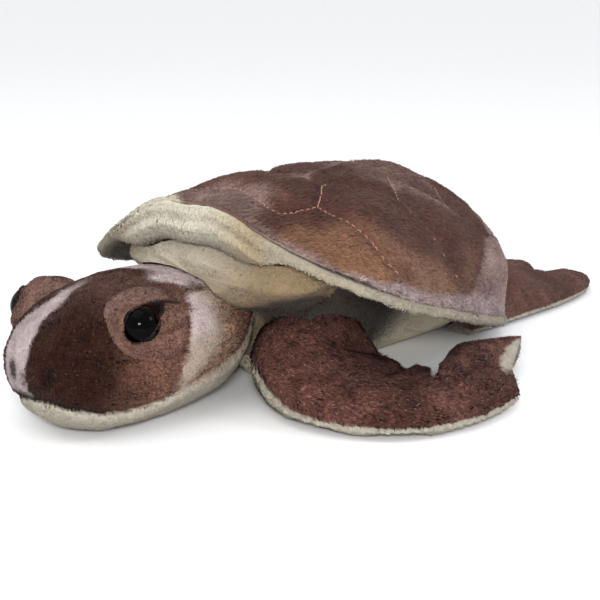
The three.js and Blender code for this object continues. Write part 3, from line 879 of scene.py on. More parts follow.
def flipper_skin(side, creased=False, **shape):
    """One flipper, made on the turtle's left and mirrored for its right."""
    skin = over_rings(*flipper_rings(**shape))
    near_tip = ramp(skin.fields["t"], 0.84, 0.95)
    skin = skin.relaxed(EASING + TIP_EASING * near_tip, EASING_ROUNDS)
    p = skin.points
    seam, t = skin.fields["seam"], skin.fields["t"]
    short = [skin.fields["short"], bump(seam, 0, 2.2), ramp(t, 0.92, 0.98)]
    skin.fields["short"] = np.max(short, axis=0)
    groove = -FLIPPER_GROOVE * bump(seam, 0, FLIPPER_GROOVE_HALF)
    pucker = FLIPPER_PUCKER * np.sin(t * 2 * np.pi * FLIPPER_PUCKERS + 2 * noise(p, 15, 31))
    pucker = pucker * bump(seam, 2.2, 2.6)
    push = groove + pucker + lumps(p, FLIPPER_LUMPS) * ramp(seam, 1, 6)
    if creased:
        push = push + fore_crease(skin)
    skin = skin.moved(push)
    mirror = np.array([side, 1, 1])
    skin.points = skin.points * mirror
    skin.fields["along"] = skin.fields["along"] * mirror
    return skin.face_out()


def fore_crease(skin):
    """The sewn line that parts the upper lobe of the tip from the blade, and the scallops' folds."""
    t, across, top = (skin.fields[k] for k in ("t", "across", "top"))
    line = top * bump(across, LOBE_LINE(t), LOBE_GROOVE_HALF) * ramp(t, 0.6, 0.66)
    # The line is also kept to paint shade in its groove.
    skin.fields["crease_shade"] = line
    start, pitch, _, count = FORE_SCALLOPS
    end = start + pitch * count + 0.03
    fold = bump(np.abs(np.sin((t - start) / pitch * np.pi)), 0, 0.3) * ramp(across, 0.45, 0.85)
    fold = fold * ramp(t, start - 0.03, start + 0.01) * ramp(end - t, 0, 0.03)
    return -LOBE_GROOVE * line - SCALLOP_FOLD * top * fold


def fore_skin(side):
    return flipper_skin(
        side, creased=True, leading=FORE_LEADING, trailing=FORE_TRAILING, top=FORE_TOP, lift=FORE_LIFT,
        seams=FORE_SEAM, scallops=FORE_SCALLOPS, notch=FORE_NOTCH, count=190, around=84,
    )


def hind_skin(side):
    return flipper_skin(
        side, leading=HIND_OUTER, trailing=HIND_INNER, top=HIND_TOP, lift=HIND_LIFT,
        seams=HIND_SEAM, scallops=HIND_SCALLOPS, notch=0, count=130, around=56,
    )


def tail_skin():
    y = rounded_stations(TAIL_START, TAIL_END, TAIL_RINGS)[:, None]
    share = (y - TAIL_START) / (TAIL_END - TAIL_START)
    taper = np.maximum(np.sqrt(1 - share**TAIL_BLUNTNESS), TAIL_TIP)
    middle = TAIL_HEIGHT * 0.4
    top = middle + (TAIL_HEIGHT - middle) * taper
    x, z = section(full_turn(TAIL_AROUND), 2, TAIL_HALF_WIDTH * taper, middle, top, -1.5)
    skin = over_rings(np.stack([x, np.broadcast_to(y, x.shape), z], 2))
    skin.points = on_floor(skin.points)
    return skin.moved(lumps(skin.points, TAIL_LUMPS))


# ---- markings and nap

DYE = 0.8  # deepens every coat colour
FRONT_WARMTH = [0.03, 0.13, 0.2]  # how much the shell's front loses of red, green and blue
# Painted shade on pale cloth away from the head, where the shell and flippers shade it.
SIDE_SHADE = [0.8, 0.95, 1.15]  # the same for a pale cloth away from the head

# Wander of the markings' edges; each layer is its reach in millimetres, size and seed.
SHELL_WANDER = [(5, 16, 51), (2, 6, 52)]
HEAD_WANDER = [(1.8, 7, 61), (0.8, 3, 62)]

# How far forward the cream hem begins where it folds up over the shell's front edge, by side.
FOLD_FROM = through([(-70, 50), (-30, 48), (-20, 51), (-12, 55.5), (-3, 60), (5, 64)])
# How far out from the midline the golden scutes begin, along y.
GOLD_FROM = through([(-60, 36), (-25, 46), (-14, 50), (-8, 60), (30, 63), (50, 58)])
# The pale stripe on the snout, right of the midline: its middle and half width, by distance forward.
STRIPE_MIDDLE = through([(15, -8), (25, -5.8), (34, -2.8), (39, -4.3), (45, -7.7), (48, -9.2), (56, -10.4)])
STRIPE_HALF = through(
    [(15, 2.4), (25, 3.5), (34, 4.3), (39, 5.9), (45, 8.2), (48, 9.2), (51, 9.8), (56, 9.2)],
)
# The pale band behind the eye: how far forward its front and rear edges lie, by height.
BAND_FRONT = through([(14, 15), (20, 13), (26, 10), (31, 7), (37, 4), (42, 1), (47, -2.3), (50, -3.5)])
BAND_REAR = through([(14, 8), (19.4, 4), (23.6, -2), (27.8, -9), (33, -12), (39, -15), (50, -20)])
# The pale crown: its front edge by distance from the midline, its half width by distance forward.
CROWN_FRONT = through([(0, -7), (8, -4), (14, 1), (19, 0), (25, -5)])
CROWN_HALF = through([(-50, 33), (-15, 29), (-8, 25.5), (-3, 21.5), (3, 15), (7, 8), (11, -4)])
NOSTRIL_SIDES, NOSTRIL_HEIGHT, NOSTRIL_TALLER = (10, -11), 29, 1.3


def tangent(skin, direction):
    """A direction for each vertex, laid on the surface."""
    n = skin.normals()
    d = np.broadcast_to(np.asarray(direction, float), n.shape)
    return unit(d - n * (d * n).sum(1, keepdims=True) + 1e-6)


def mottled(colour, p, seed, amount=0.1, size=7):
    """A coat's colour, with noise of two sizes over it."""
    tone = 1 + amount * noise(p, size, seed) + 0.6 * amount * noise(p, size / 2.7, seed + 1)
    return DYE * colour * tone[:, None]


def varied(colour, p, amount, size, seed, middle=1):
    """A colour that grows lighter and darker from place to place."""
    return colour * (middle + amount * noise(p, size, seed))[:, None]


def paint_shell(skin):
    """Brown scutes in dark borders, deepened by painted shade; golden sides, mauve margin and back; painted
    sheen and crease shade.
    """
    p = skin.points
    x, y = np.abs(p[:, 0]), p[:, 1]
    grows = 1 - skin.fields["bare"]
    distance = from_borders(p[:, :2])[0] + 30 * skin.fields["bare"]
    wander = lumps(p, SHELL_WANDER)
    # Darker towards the scute borders: the print, deepened by painted shade in the quilted valleys.
    scute = ramp(distance + 0.4 * wander, 1, 12)
    golden = ramp(x - GOLD_FROM(y) + wander, -3, 12) * fades(y, 30, 62)
    golden = golden * (0.4 + 0.6 * scute) * (0.85 + 0.3 * noise(p, 13, 58))
    # Painted sheen: a mauve streak of light over the dome's upper sides.
    sheen_streak = bump(x - (24 + 0.42 * (y - 27)), 0, 7) * ramp(y, 15, 35) * fades(y, 55, 75)
    ridge = bump(x - 10 + wander, 0, 13) * ramp(y, 20, 40) * fades(y, 70, 95)
    nose = bump(x + 0.6 * wander, 9, 9) * bump(y + 0.8 * wander, -31, 6)
    colour = layered(
        SHELL_DARK,
        (SHELL_BROWN, 0.25 + 0.4 * noise(p, 20, 53) + 0.35 * scute),
        (GOLD, golden),
        (MAUVE, 0.45 * sheen_streak),
        (MAUVE, 0.28 * ridge),
        (MAUVE, 0.5 * nose),
    )
    colour = colour * (1 - fades(y, -25, 5)[:, None] * FRONT_WARMTH)
    margin = (0.45 + 0.4 * ramp(y, 35, 60)) * on_flap(skin)
    # Painted shade in the groove of the rear margin's sewn line.
    crease_shade = bump(flap_distance(skin), 0, 1.3) * ramp(y, 25, 50) * grows
    edge = ramp(skin.fields["share"] + 0.002 * wander, 0.975, 0.99)
    edge = edge * ramp(skin.fields["bearing"], 25, 50)
    # Where the hem folds up over the shell's front edge it shows the hem's cream, painted lighter as if lit.
    folded = ramp(-y - FOLD_FROM(p[:, 0]) + 0.15 * wander, -1, 1) * (skin.fields["share"] > 0.8)
    colour = layered(
        colour,
        (varied(MAUVE, p, 0.35, 13, 57, 0.9), margin),
        (SHELL_DARK * 0.5, 0.7 * crease_shade),
        (PINK * 0.8, 0.6 * edge),
        (HEM_FRONT_LIT, folded),
    )
    outwards = np.column_stack([p[:, 0] / SHELL_HALF_WIDTH, 0 * y, 0 * y - 0.6])
    nap = unit(tangent(skin, [0, 1, 0]) + 0.55 * tangent(skin, outwards))
    return skin.fitted(paint=mottled(colour, p, 54), nap=nap, pale=folded)


def paint_plain(skin, colour, direction, seed):
    paint = mottled(colour, skin.points, seed, 0.05, 9)
    return skin.fitted(paint=paint, nap=tangent(skin, direction))


def shaded_aside(colour, skin, amount):
    """Painted shade: a pale cloth turns warmer and deeper away from the head, on both sides."""
    aside = ramp(np.abs(skin.points[:, 0] + 12), 14, 56)[:, None]
    return colour * (1 - amount * aside * SIDE_SHADE)


def shaded_root(colour, skin, upper, behind):
    """Deepens a pale cloth in the nook over a fore flipper's root, below upper and ahead of behind."""
    x, y, z = skin.points.T
    nook = ramp(upper - z, -2.5, 1.5) * ramp(z, 6, 14) * ramp(behind - y, -14, 12)
    return mix(colour, ROOT_SHADE, 0.97 * nook * ramp(np.abs(x), 12, 22) * ramp(y, -56, -48))


def paint_hem(skin):
    """Painted palest, as if lit, in the middle of the thick front edge, with painted shade under its fold."""
    front = ramp(skin.fields["front"] + 0.1 * noise(skin.points, 14, 85), 0.2, 0.95)
    # Painted shade under the rolled edge's fold.
    fold = ramp(skin.fields["down"], 9, 20)
    colour = layered(CREAM_HEM, (shaded_aside(HEM_FRONT_LIT, skin, 0.6), front), (ROOT_SHADE, 0.8 * fold))
    return paint_plain(skin, colour, [0, 0.2, -1], 81)


def paint_neck(skin):
    # Painted shade: the neck turns deeper below the hem and away from the head.
    low = fades(skin.points[:, 2], 44, 62)
    colour = shaded_aside(mix(CREAM, CREAM_SHADED, low), skin, 0.58)
    return paint_plain(skin, shaded_root(colour, skin, 50, 0), [0.35, 1, -0.3], 82)


def paint_trunk(skin):
    return paint_plain(skin, shaded_root(CREAM_TRUNK_LIT, skin, 56, 36), [0, 1, -0.4], 83)


def paint_tail(skin):
    return paint_plain(skin, HIND, [0, 1, 0], 89)


def head_colour(p):
    """The head's brown, darker to the snout, with a pale crown and eye band; and how pale it is."""
    side, forward, height = head_frame(p)
    side = np.abs(side)
    wander = lumps(p, HEAD_WANDER)
    snout = ramp(forward + wander + 0.25 * (height - 25), 20, 45)
    colour = varied(mix(BROWN, SNOUT, 0.15 + 0.85 * snout), p, 0.22, 9, 67)
    top = ramp(height, 48, 54) * fades(forward, 25, 48)
    crown = ramp(CROWN_HALF(forward) - side + 2 * wander, -3, 8) * ramp(height, 46, 50)
    crown = crown * ramp(CROWN_FRONT(side) - forward + 1.5 * wander, -3, 6)
    rear = BAND_REAR(height)
    softness = 1.2 + 5 * fades(height, 16, 28)
    band = ramp((BAND_FRONT(height) - forward + 0.4 * wander) / softness, 0, 1)
    band = band * ramp(forward - rear + wander, -7, 6)
    low = fades(height - 0.3 * wander, 49.4, 50.6)
    cheek = ramp(rear - forward, -6, 4) * low
    behind = varied(mix(CHEEK, BROWN * 1.1, fades(forward, -28, -18)), p, 0.2, 6, 68)
    colour = layered(
        colour,
        (DARK, 0.75 * top),
        (PINK * 1.35, 0.9 * crown),
        (behind, 0.9 * cheek),
        (BAND * 1.05, 0.9 * band * low),
        (PINK * 1.1, 0.9 * band * low * ramp(height, 30, 42) * ramp(forward, -16, -6)),
    )
    return colour, np.maximum(0.95 * crown, 0.98 * band * low)


def paint_head(skin):
    """The head's browns with the snout's stripe, nostrils, mouth line and cream jaw."""
    p = skin.points
    side, forward, height = head_frame(p)
    wander = lumps(p, HEAD_WANDER)
    above = height - mouth_seam(forward)
    colour, pale = head_colour(p)
    inside = STRIPE_HALF(forward) - np.abs(side - STRIPE_MIDDLE(forward))
    stripe = ramp(inside + 0.5 * wander, -0.8, 1.4) * ramp(forward, 10, 26)
    stripe = stripe * ramp(height, 18, 22)
    colour = mix(colour, varied(PINK, p, 0.15, 5, 66, 0.9), 0.93 * stripe)
    for place in NOSTRIL_SIDES:
        spot = np.hypot(side - place, (height - NOSTRIL_HEIGHT) / NOSTRIL_TALLER)
        colour = mix(colour, INK, 0.9 * fades(spot - 0.5 * wander, 2, 4.4) * (forward > 40))
    mouth = bump(above, 1.0, 0.9) * ramp(forward, 32, 40)
    softness = 0.4 + 4.5 * fades(forward, -5, 18)
    jaw = ramp((-above + 0.15 * wander) / softness, -0.5, 1.0)
    colour = layered(colour, (INK, 0.95 * mouth), (CREAM_JAW, jaw))
    seam = bump(above, 0, 3)
    level = 0 * side
    back = np.column_stack([level - math.sin(HEAD_TURN), level + math.cos(HEAD_TURN), -0.25 * (1 - seam)])
    pale = np.maximum(jaw, 0.9 * np.maximum(pale, stripe))
    return skin.fitted(paint=mottled(colour, p, 63, 0.1, 4), nap=tangent(skin, back), pale=pale, short=seam)


def paint_eyelid(skin):
    """The patch's brown with a rim painted as a highlight, a brow, crow's feet and painted shade at the
    button and slit.
    """
    p = skin.points
    ahead, up, outside, slit = (skin.fields[k] for k in ("ahead", "up", "outside", "slit"))
    out = np.hypot((ahead + 3.5) / 17.5, (up + 0.5) / 15.5)
    # Painted highlight: the raised rim is paler on its front and top, where it catches the light.
    rim = ramp(out + 0.06 * noise(p, 5, 72), 0.78, 0.98) * ramp(ahead + 0.8 * up, -6, 6)
    brow = ramp(up, 7.2, 8.2) * ramp(ahead, -14, -4)
    crow = bump(up + 3 + 0.25 * ahead, -3.5, 0.7) + bump(up + 0.45 * ahead, -9, 0.8)
    under, pale = head_colour(p)
    colour = layered(
        under,
        (varied(PATCH_BROWN, p, 0.25, 6, 73), 0.5),
        (PATCH_RIM, 0.75 * rim),
        (PATCH_RIM * 0.85, 0.5 * brow),
        (DARK * 0.8, 0.35 * crow * ramp(-ahead, 1, 5)),
        # Painted shade along the lids' edges, in the deep gaps round the button and in the slit behind it.
        (DARK * 0.6, 0.6 * (1 - ramp(outside, 0.2, 1.3))),
        (INK, 1 - ramp(np.minimum(outside + 0.1, slit - 0.1), 0.2, 0.6)),
    )
    nap = tangent(skin, [-0.2, 1, -0.15])
    return skin.fitted(paint=mottled(colour, p, 71, 0.13, 3), nap=nap, pale=0.5 * pale)


def paint_flipper(skin, colour, seed):
    """Brown with random lighter patches and painted light and shade; cream below the seam and on the lobe's
    turned up end.
    """
    p = skin.points
    t, across = skin.fields["t"], skin.fields["across"]
    blade = ramp(across, 0.35, 0.5)
    brown = layered(
        colour,
        (FLIPPER_LIGHT, 0.35 + 0.35 * noise(p, 17, seed)),
        # Painted light and shade: bands along the flipper made lighter and darker as the light falls on it.
        (FLIPPER_LIGHT, 0.6 * bump(t, 0.7, 0.03) + 0.5 * ramp(t, 0.8, 0.9) * blade),
        (colour * 0.55, 0.8 * bump(t, 0.585, 0.075)),
        (colour * 0.65, 0.7 * (1 - blade) * ramp(t, 0.74, 0.86)),
        # Painted shade in the crease under the upper lobe.
        (colour * 0.5, 0.8 * skin.field("crease_shade")),
    )
    end = 1.0 - 0.018 * ramp(across, 0.42, 0.85)
    turned_up = ramp(t + 0.003 * noise(p, 5, seed + 3) - end, -0.003, 0.003)
    pale = np.maximum(1 - skin.fields["top"], turned_up * ramp(across, 0.38, 0.5))
    paint = mix(mottled(brown, p, seed + 1, 0.13, 5), mottled(CREAM_JAW, p, seed + 2, 0.05, 9), pale)
    return skin.fitted(paint=paint, nap=tangent(skin, skin.fields["along"] + [0, 0, -0.1]), pale=pale)


# ---- meshes

SHARP = math.radians(55)  # faces that meet at more than this show an edge
CUT_FACE = 1.4  # a cut skin's points this far from the whole skin lie on cut faces


def new_object(name, points, *faces):
    """A smooth shaded object, with faces as arrays of triangles or quads; and its corners' vertices."""
    corners = np.concatenate([rows.ravel() for rows in faces]).astype(np.int32)
    sides = np.concatenate([np.full(len(rows), rows.shape[1]) for rows in faces])
    mesh = bpy.data.meshes.new(name)
    mesh.vertices.add(len(points))
    mesh.vertices.foreach_set("co", points.astype(np.float32).ravel())
    mesh.loops.add(len(corners))
    mesh.loops.foreach_set("vertex_index", corners)
    mesh.polygons.add(len(sides))
    mesh.polygons.foreach_set("loop_start", (np.cumsum(sides) - sides).astype(np.int32))
    mesh.update(calc_edges=True)
    mesh.polygons.foreach_set("use_smooth", np.ones(len(sides), bool))
    made = bpy.data.objects.new(name, mesh)
    bpy.context.scene.collection.objects.link(made)
    return made, corners


def set_colours(mesh, colours):
    layer = mesh.attributes.new("paint", "FLOAT_COLOR", "POINT")
    rgba = np.column_stack([np.clip(colours, 0, 1), np.ones(len(colours))])
    layer.data.foreach_set("color", rgba.astype(np.float32).ravel())


def chart_map(skin, points, normals):
    """Places in an unwrap of a skin's own shape: six flat charts, one for each way a face looks."""
    low, high = skin.points.min(0), skin.points.max(0)
    q = (points - low) / (high - low).max()
    axis = np.abs(normals).argmax(1)
    sign = (np.take_along_axis(normals, axis[:, None], 1)[:, 0] < 0).astype(int)
    pairs = np.array([[1, 2], [0, 2], [0, 1]])[axis]
    uv = np.take_along_axis(q, pairs, 1)
    cell = np.stack([axis, sign], 1)
    return (0.02 + 0.94 * uv + cell) / [3, 2]


def set_map(mesh, corner_uv):
    layer = mesh.uv_layers.new(name="OFBake")
    layer.data.foreach_set("uv", corner_uv.astype(np.float32).ravel())


def show_skin(name, skin, material):
    """Makes the Blender object of a skin."""
    made, corners = new_object(name, to_model(skin.points), skin.triangles)
    set_colours(made.data, skin.fields["paint"])
    normals = np.repeat(skin.face_normals(), 3, axis=0)
    set_map(made.data, chart_map(skin, skin.points[corners], normals))
    made.data.materials.append(material)
    made.data.set_sharp_from_angle(angle=SHARP)
    return made


def cut_clear(skin, others, gap=PIECE_GAP):
    """What is left of a skin once its neighbours, each grown by the gap, are cut away."""
    kept, _ = new_object("cutting", skin.points, skin.triangles)
    tools = []
    for other in others:
        bigger = other.moved(gap + SKIN_INSET)
        tool, _ = new_object("cutter", bigger.points, bigger.triangles)
        tool.hide_render = True
        cut = kept.modifiers.new("cut", "BOOLEAN")
        cut.operation, cut.solver, cut.object = "DIFFERENCE", "MANIFOLD", tool
        tools.append(tool)
    evaluated = kept.evaluated_get(bpy.context.evaluated_depsgraph_get()).to_mesh()
    points = np.empty(len(evaluated.vertices) * 3, np.float32)
    evaluated.vertices.foreach_get("co", points)
    evaluated.calc_loop_triangles()
    triangles = np.empty(len(evaluated.loop_triangles) * 3, np.int32)
    evaluated.loop_triangles.foreach_get("vertices", triangles)
    for thing in [kept, *tools]:
        bpy.data.objects.remove(thing)
    points, triangles = largest_part(points.reshape(-1, 3).astype(float), triangles.reshape(-1, 3))
    return looked_up(Skin(points, triangles), skin)


def largest_part(points, triangles):
    """Keeps the biggest connected piece of a mesh."""
    label = np.arange(len(points))
    while True:
        low = label[triangles].min(1)
        new = label.copy()
        for corner in range(3):
            np.minimum.at(new, triangles[:, corner], low)
        new = new[new]
        if (new == label).all():
            break
        label = new
    biggest = np.bincount(label[triangles[:, 0]]).argmax()
    triangles = triangles[label[triangles[:, 0]] == biggest]
    used, index = np.unique(triangles, return_inverse=True)
    return points[used], index.reshape(-1, 3)


def looked_up(new, old):
    """Gives a cut skin the fields of the nearest point of the whole one; cut faces grow no pile."""
    tree = KDTree(len(old.points))
    for i, point in enumerate(old.points):
        tree.insert(point, i)
    tree.balance()
    index, far = np.array([tree.find(point)[1:] for point in new.points]).T
    index = index.astype(int)
    new.fields = {name: values[index] for name, values in old.fields.items()}
    return new.fitted(bare=np.maximum(new.field("bare"), (far > CUT_FACE).astype(float)))


# ---- pile

MOST_TUFTS = 62000  # in one coat piece, at three triangles each
UV_PATCH = 0.003
TUFT_UV = np.array([[0, 0], [1, 0], [0, 0.5], [1, 0.5], [0.5, 1]]) * UV_PATCH
TUFT_CLEARANCE = 0.05  # of the lowest tufts over the floor
ROOT_SINK = 0.25  # how deep a tuft starts under the skin
# Painted shade and light along each tuft: darker at the root, where the pile shades itself, lighter at the
# tip.
CREAM_ROOT_SHADE = 0.88  # how dark a cream tuft is at its root
MIDDLE_TONE, LIT_TIP_TONE = 0.98, 1.16
GLINT_SHARE = 0.035
# How unevenly tufts turn, grow, rise and widen.
UNEVEN_TURN, UNEVEN_SIZE, UNEVEN_RISE, UNEVEN_WIDTH = 0.22, 0.12, 0.12, 0.15
# How much less pale tufts swirl, grow, rise and stray in shading, and how much shorter they are at seams.
PALE_STRAIGHTER, PALE_SHORTER, PALE_FLATTER, PALE_CALMER, SEAM_SHORTER = 0.5, 0.4, 0.35, 0.6, 0.5


def scattered(skin, spacing, rng):
    """Random places on the faces that grow pile: each one's face, and a reader of fields there."""
    grows = 1 - skin.field("bare")[skin.triangles].max(1)
    area = np.linalg.norm(skin.face_normals(), axis=1) / 2 * (grows > 0.5)
    count = int(area.sum() / spacing**2)
    face = np.sort(rng.choice(len(area), count, p=area / area.sum()))
    a, b = rng.random((2, count))
    flip = a + b > 1
    a, b = np.where(flip, 1 - a, a), np.where(flip, 1 - b, b)
    weights = np.stack([1 - a - b, a, b], 1)[..., None]

    def blended(values):
        return (values[skin.triangles[face]] * (weights if values.ndim > 1 else weights[..., 0])).sum(1)

    return face, blended


def pile(name, skin, material, seed, spacing, length, width, lift, swirl, clump, spread=0.1, glints=0.0,
         shaded_root_tone=0.7, ruffle=0.45):
    """Short tufts over a skin, as joined meshes that follow its nap and mat together in clumps.

    Lift and swirl are angles off the skin and off the nap. Spread is how much the tufts' tones
    differ, and ruffle how much their shading strays.
    """
    rng = np.random.default_rng(seed)
    face, blended = scattered(skin, spacing, rng)
    count = len(face)
    root, paint = blended(skin.points), blended(skin.fields["paint"])
    normal, nap = unit(blended(skin.normals())), unit(blended(skin.fields["nap"]))
    pale, short = blended(skin.field("pale")), blended(skin.field("short"))

    whorl = noise(root, 7, seed + 1) + 0.6 * noise(root, 2.8, seed + 2)
    turn = swirl * (1 - PALE_STRAIGHTER * pale) * whorl + rng.normal(0, UNEVEN_TURN, count)
    nap, across = turned(nap, np.cross(normal, nap), turn)
    growth = 1 + 0.25 * noise(root, 5, seed + 3) + rng.normal(0, UNEVEN_SIZE, count)
    size = length * growth.clip(0.5, 1.6) * (1 - PALE_SHORTER * pale) * (1 - SEAM_SHORTER * short)
    rise = lift * (1 - PALE_FLATTER * pale) + rng.normal(0, UNEVEN_RISE, count)
    rise = (rise + 0.15 * noise(root, 3.5, seed + 4)).clip(0.08, 1.3)
    pull = clump_pull(root, clump, seed + 6)
    pull = pull - normal * (pull * normal).sum(1, keepdims=True)
    middle = root + step_along(nap, normal, rise, 0.55 * size) + 0.3 * pull
    tip = middle + step_along(nap, normal, rise * 0.35 - 0.05, 0.5 * size) + 0.4 * pull
    half = (width / 2 * (1 + rng.normal(0, UNEVEN_WIDTH, count)))[:, None] * across
    sink = ROOT_SINK * normal
    corners = [root - half - sink, root + half - sink, middle - 0.8 * half, middle + 0.8 * half, tip]

    # Tones vary at random, with painted shade on tufts at the edges of clumps, where the gaps lie in shade.
    edge = np.linalg.norm(pull, axis=1) / clump
    tone = 1 + rng.normal(0, spread, count) + 1.3 * spread * noise(root, 1.6, seed + 5)
    tone = tone + 1.5 * spread * noise(root, 4.5, seed + 7) - 2.2 * spread * (edge - 0.38)
    tone = tone + (1 - tone) * 0.8 * pale
    # Painted shade at each tuft's root and painted light at its tip, less so on pale cloth.
    depth = shaded_root_tone + (CREAM_ROOT_SHADE - shaded_root_tone) * np.sqrt(pale.clip(0, 1))
    between = 0 * depth + MIDDLE_TONE
    steps = np.stack([depth, depth, between, between, LIT_TIP_TONE - 0.08 * pale], 1)
    shades = paint[:, None] * (tone[:, None] * steps)[..., None]
    # Painted highlights: a few tufts' tips painted pale as glints of light.
    glint = glints * (rng.random(count) < GLINT_SHARE) * (1 - pale)
    shades[:, 4] = shades[:, 4] + glint[:, None] * (GLINT - shades[:, 4])

    calm = (1 - PALE_CALMER * pale)[:, None]
    sway = ruffle * calm * across * rng.normal(0, 1, count)[:, None]
    lean = unit(normal + sway + 0.25 * nap + 0.78 * ruffle * calm * unit(pull))
    uv = chart_map(skin, root, skin.face_normals()[face])
    return tuft_objects(name, np.stack(corners, 1), shades, lean, uv, material)


def clump_pull(root, size, seed):
    """From each root towards the middle of the clump it mats into."""
    cell = np.floor(root / size).astype(np.int64)
    shift = np.stack([lattice(*cell.T, seed + n) for n in range(3)], 1)
    return (cell + 0.5 + 0.4 * shift) * size - root


def turned(nap, across, angle):
    c, s = np.cos(angle)[:, None], np.sin(angle)[:, None]
    return nap * c + across * s, across * c - nap * s


def step_along(nap, normal, rise, distance):
    return (nap * np.cos(rise)[:, None] + normal * np.sin(rise)[:, None]) * distance[:, None]


def tuft_objects(name, points, shades, lean, uv, material):
    """One object for each MOST_TUFTS tufts."""
    made = []
    pieces = max(1, math.ceil(len(points) / MOST_TUFTS))
    for index, rows in enumerate(np.array_split(np.arange(len(points)), pieces)):
        first = np.arange(len(rows))[:, None] * 5
        flat = on_floor(points[rows].reshape(-1, 3), TUFT_CLEARANCE)
        label = name if pieces == 1 else f"{name}_{index + 1}"
        thing, corners = new_object(label, to_model(flat), first + [3, 2, 4], first + [1, 0, 2, 3])
        set_colours(thing.data, shades[rows].reshape(-1, 3))
        bent = thing.data.attributes.new("custom_normal", "FLOAT_VECTOR", "POINT")
        bent.data.foreach_set("vector", np.repeat(lean[rows], 5, 0).astype(np.float32).ravel())
        set_map(thing.data, (uv[rows][:, None] + TUFT_UV).reshape(-1, 2)[corners])
        thing.data.materials.append(material)
        made.append(thing)
    return made


# ---- materials

# How fine the noises are, per metre.
CLUMP_GRAIN, FIBRE_GRAIN, PLASTIC_GRAIN, STRAND_GRAIN = 420, 1500, 900, 2600


def feed(tree, made, inputs):
    """Gives a node its inputs: each is a value or another node's output."""
    for name, value in inputs.items():
        if isinstance(value, bpy.types.NodeSocket):
            tree.links.new(value, made.inputs[name])
        else:
            made.inputs[name].default_value = value
    return made


def node(tree, kind, inputs, **settings):
    made = tree.nodes.new(kind)
    for name, value in settings.items():
        setattr(made, name, value)
    return feed(tree, made, inputs)


def new_material(name):
    """A material, its node tree and its shader."""
    material = bpy.data.materials.new(name)
    material.use_nodes = True
    return material, material.node_tree, material.node_tree.nodes["Principled BSDF"]


def grain(tree, scale, detail):
    """Noise fixed to the object."""
    coords = node(tree, "ShaderNodeTexCoord", {}).outputs["Object"]
    inputs = {"Vector": coords, "Scale": scale, "Detail": detail, "Roughness": 0.6}
    return node(tree, "ShaderNodeTexNoise", inputs).outputs["Fac"]


def painted(tree, strength):
    """The painted colour, made stronger and weaker from place to place."""
    paint = node(tree, "ShaderNodeAttribute", {}, attribute_name="paint").outputs["Color"]
    scaled = node(tree, "ShaderNodeVectorMath", {0: paint}, operation="SCALE")
    return feed(tree, scaled, {"Scale": strength}).outputs["Vector"]


def plush_material(name, sheen, sheen_tint, bump_distance, speckle):
    """Pile fabric: painted colour broken by fine fibre speckle, bump of two sizes and a soft sheen."""
    material, tree, shader = new_material(name)
    clumps = grain(tree, CLUMP_GRAIN, 4)
    spread = {"From Min": 0.3, "From Max": 0.7, "To Min": 1 - speckle, "To Max": 1 + speckle}
    strength = node(tree, "ShaderNodeMapRange", {"Value": clumps, **spread}).outputs["Result"]
    look = {
        "Base Color": painted(tree, strength),
        "Roughness": 0.9,
        "Specular IOR Level": 0.08,
        "Sheen Weight": sheen,
        "Sheen Roughness": 0.45,
        "Sheen Tint": (*sheen_tint, 1),
    }
    if bump_distance:
        fine = grain(tree, FIBRE_GRAIN, 2)
        heights = node(tree, "ShaderNodeMath", {0: fine, 1: clumps}, operation="ADD").outputs[0]
        relief = {"Strength": 0.8, "Distance": bump_distance, "Height": heights}
        look["Normal"] = node(tree, "ShaderNodeBump", relief).outputs["Normal"]
    feed(tree, shader, look)
    return material


def eye_material():
    """Domed plastic: black pupil in a very dark brown iris under a clear glossy face."""
    material, tree, shader = new_material("eye_plastic")
    colour = painted(tree, grain(tree, PLASTIC_GRAIN, 3))
    feed(tree, shader, {"Base Color": colour, "Roughness": 0.06, "Specular IOR Level": 0.05})
    return material


def thread_material():
    """Copper thread, with light and dark strands twisted together."""
    material, tree, shader = new_material("stitch_thread")
    strands = node(tree, "ShaderNodeValToRGB", {"Fac": grain(tree, STRAND_GRAIN, 1)})
    for stop, place, tone in zip(strands.color_ramp.elements, (0.35, 0.65), (0.55, 1.3)):
        stop.position = place
        stop.color = (*np.clip(COPPER * tone, 0, 1), 1)
    feed(tree, shader, {"Base Color": strands.outputs["Color"], "Roughness": 0.4, "Sheen Weight": 0.3})
    return material


# ---- stitches

STITCH_PITCH, STITCH_LENGTH, STITCH_RADIUS = 3.1, 2.3, 0.28
STITCH_SIDES, STITCH_RINGS = 8, 7
STITCH_LEVEL, STITCH_PROUD, STITCH_DIP = 0.15, 0.65, 0.75  # over the skin
OVER_SHELL = 200


def stitch_places():
    """Plan points and directions of every stitch along the scute borders, and how proud it stands."""
    rows = []
    for side in (1, -1):
        for border, proud in zip(SCUTE_BORDERS, PROUD_STITCHES):
            points = np.array(border, float) * [side, 1]
            for a, b in zip(points[:-1], points[1:]):
                length = np.linalg.norm(b - a)
                for i in range(max(1, round(length / STITCH_PITCH))):
                    share = (i + 0.5) * STITCH_PITCH / length
                    if share < 1:
                        rows.append((*(a + (b - a) * share), *((b - a) / length), proud))
    return rows


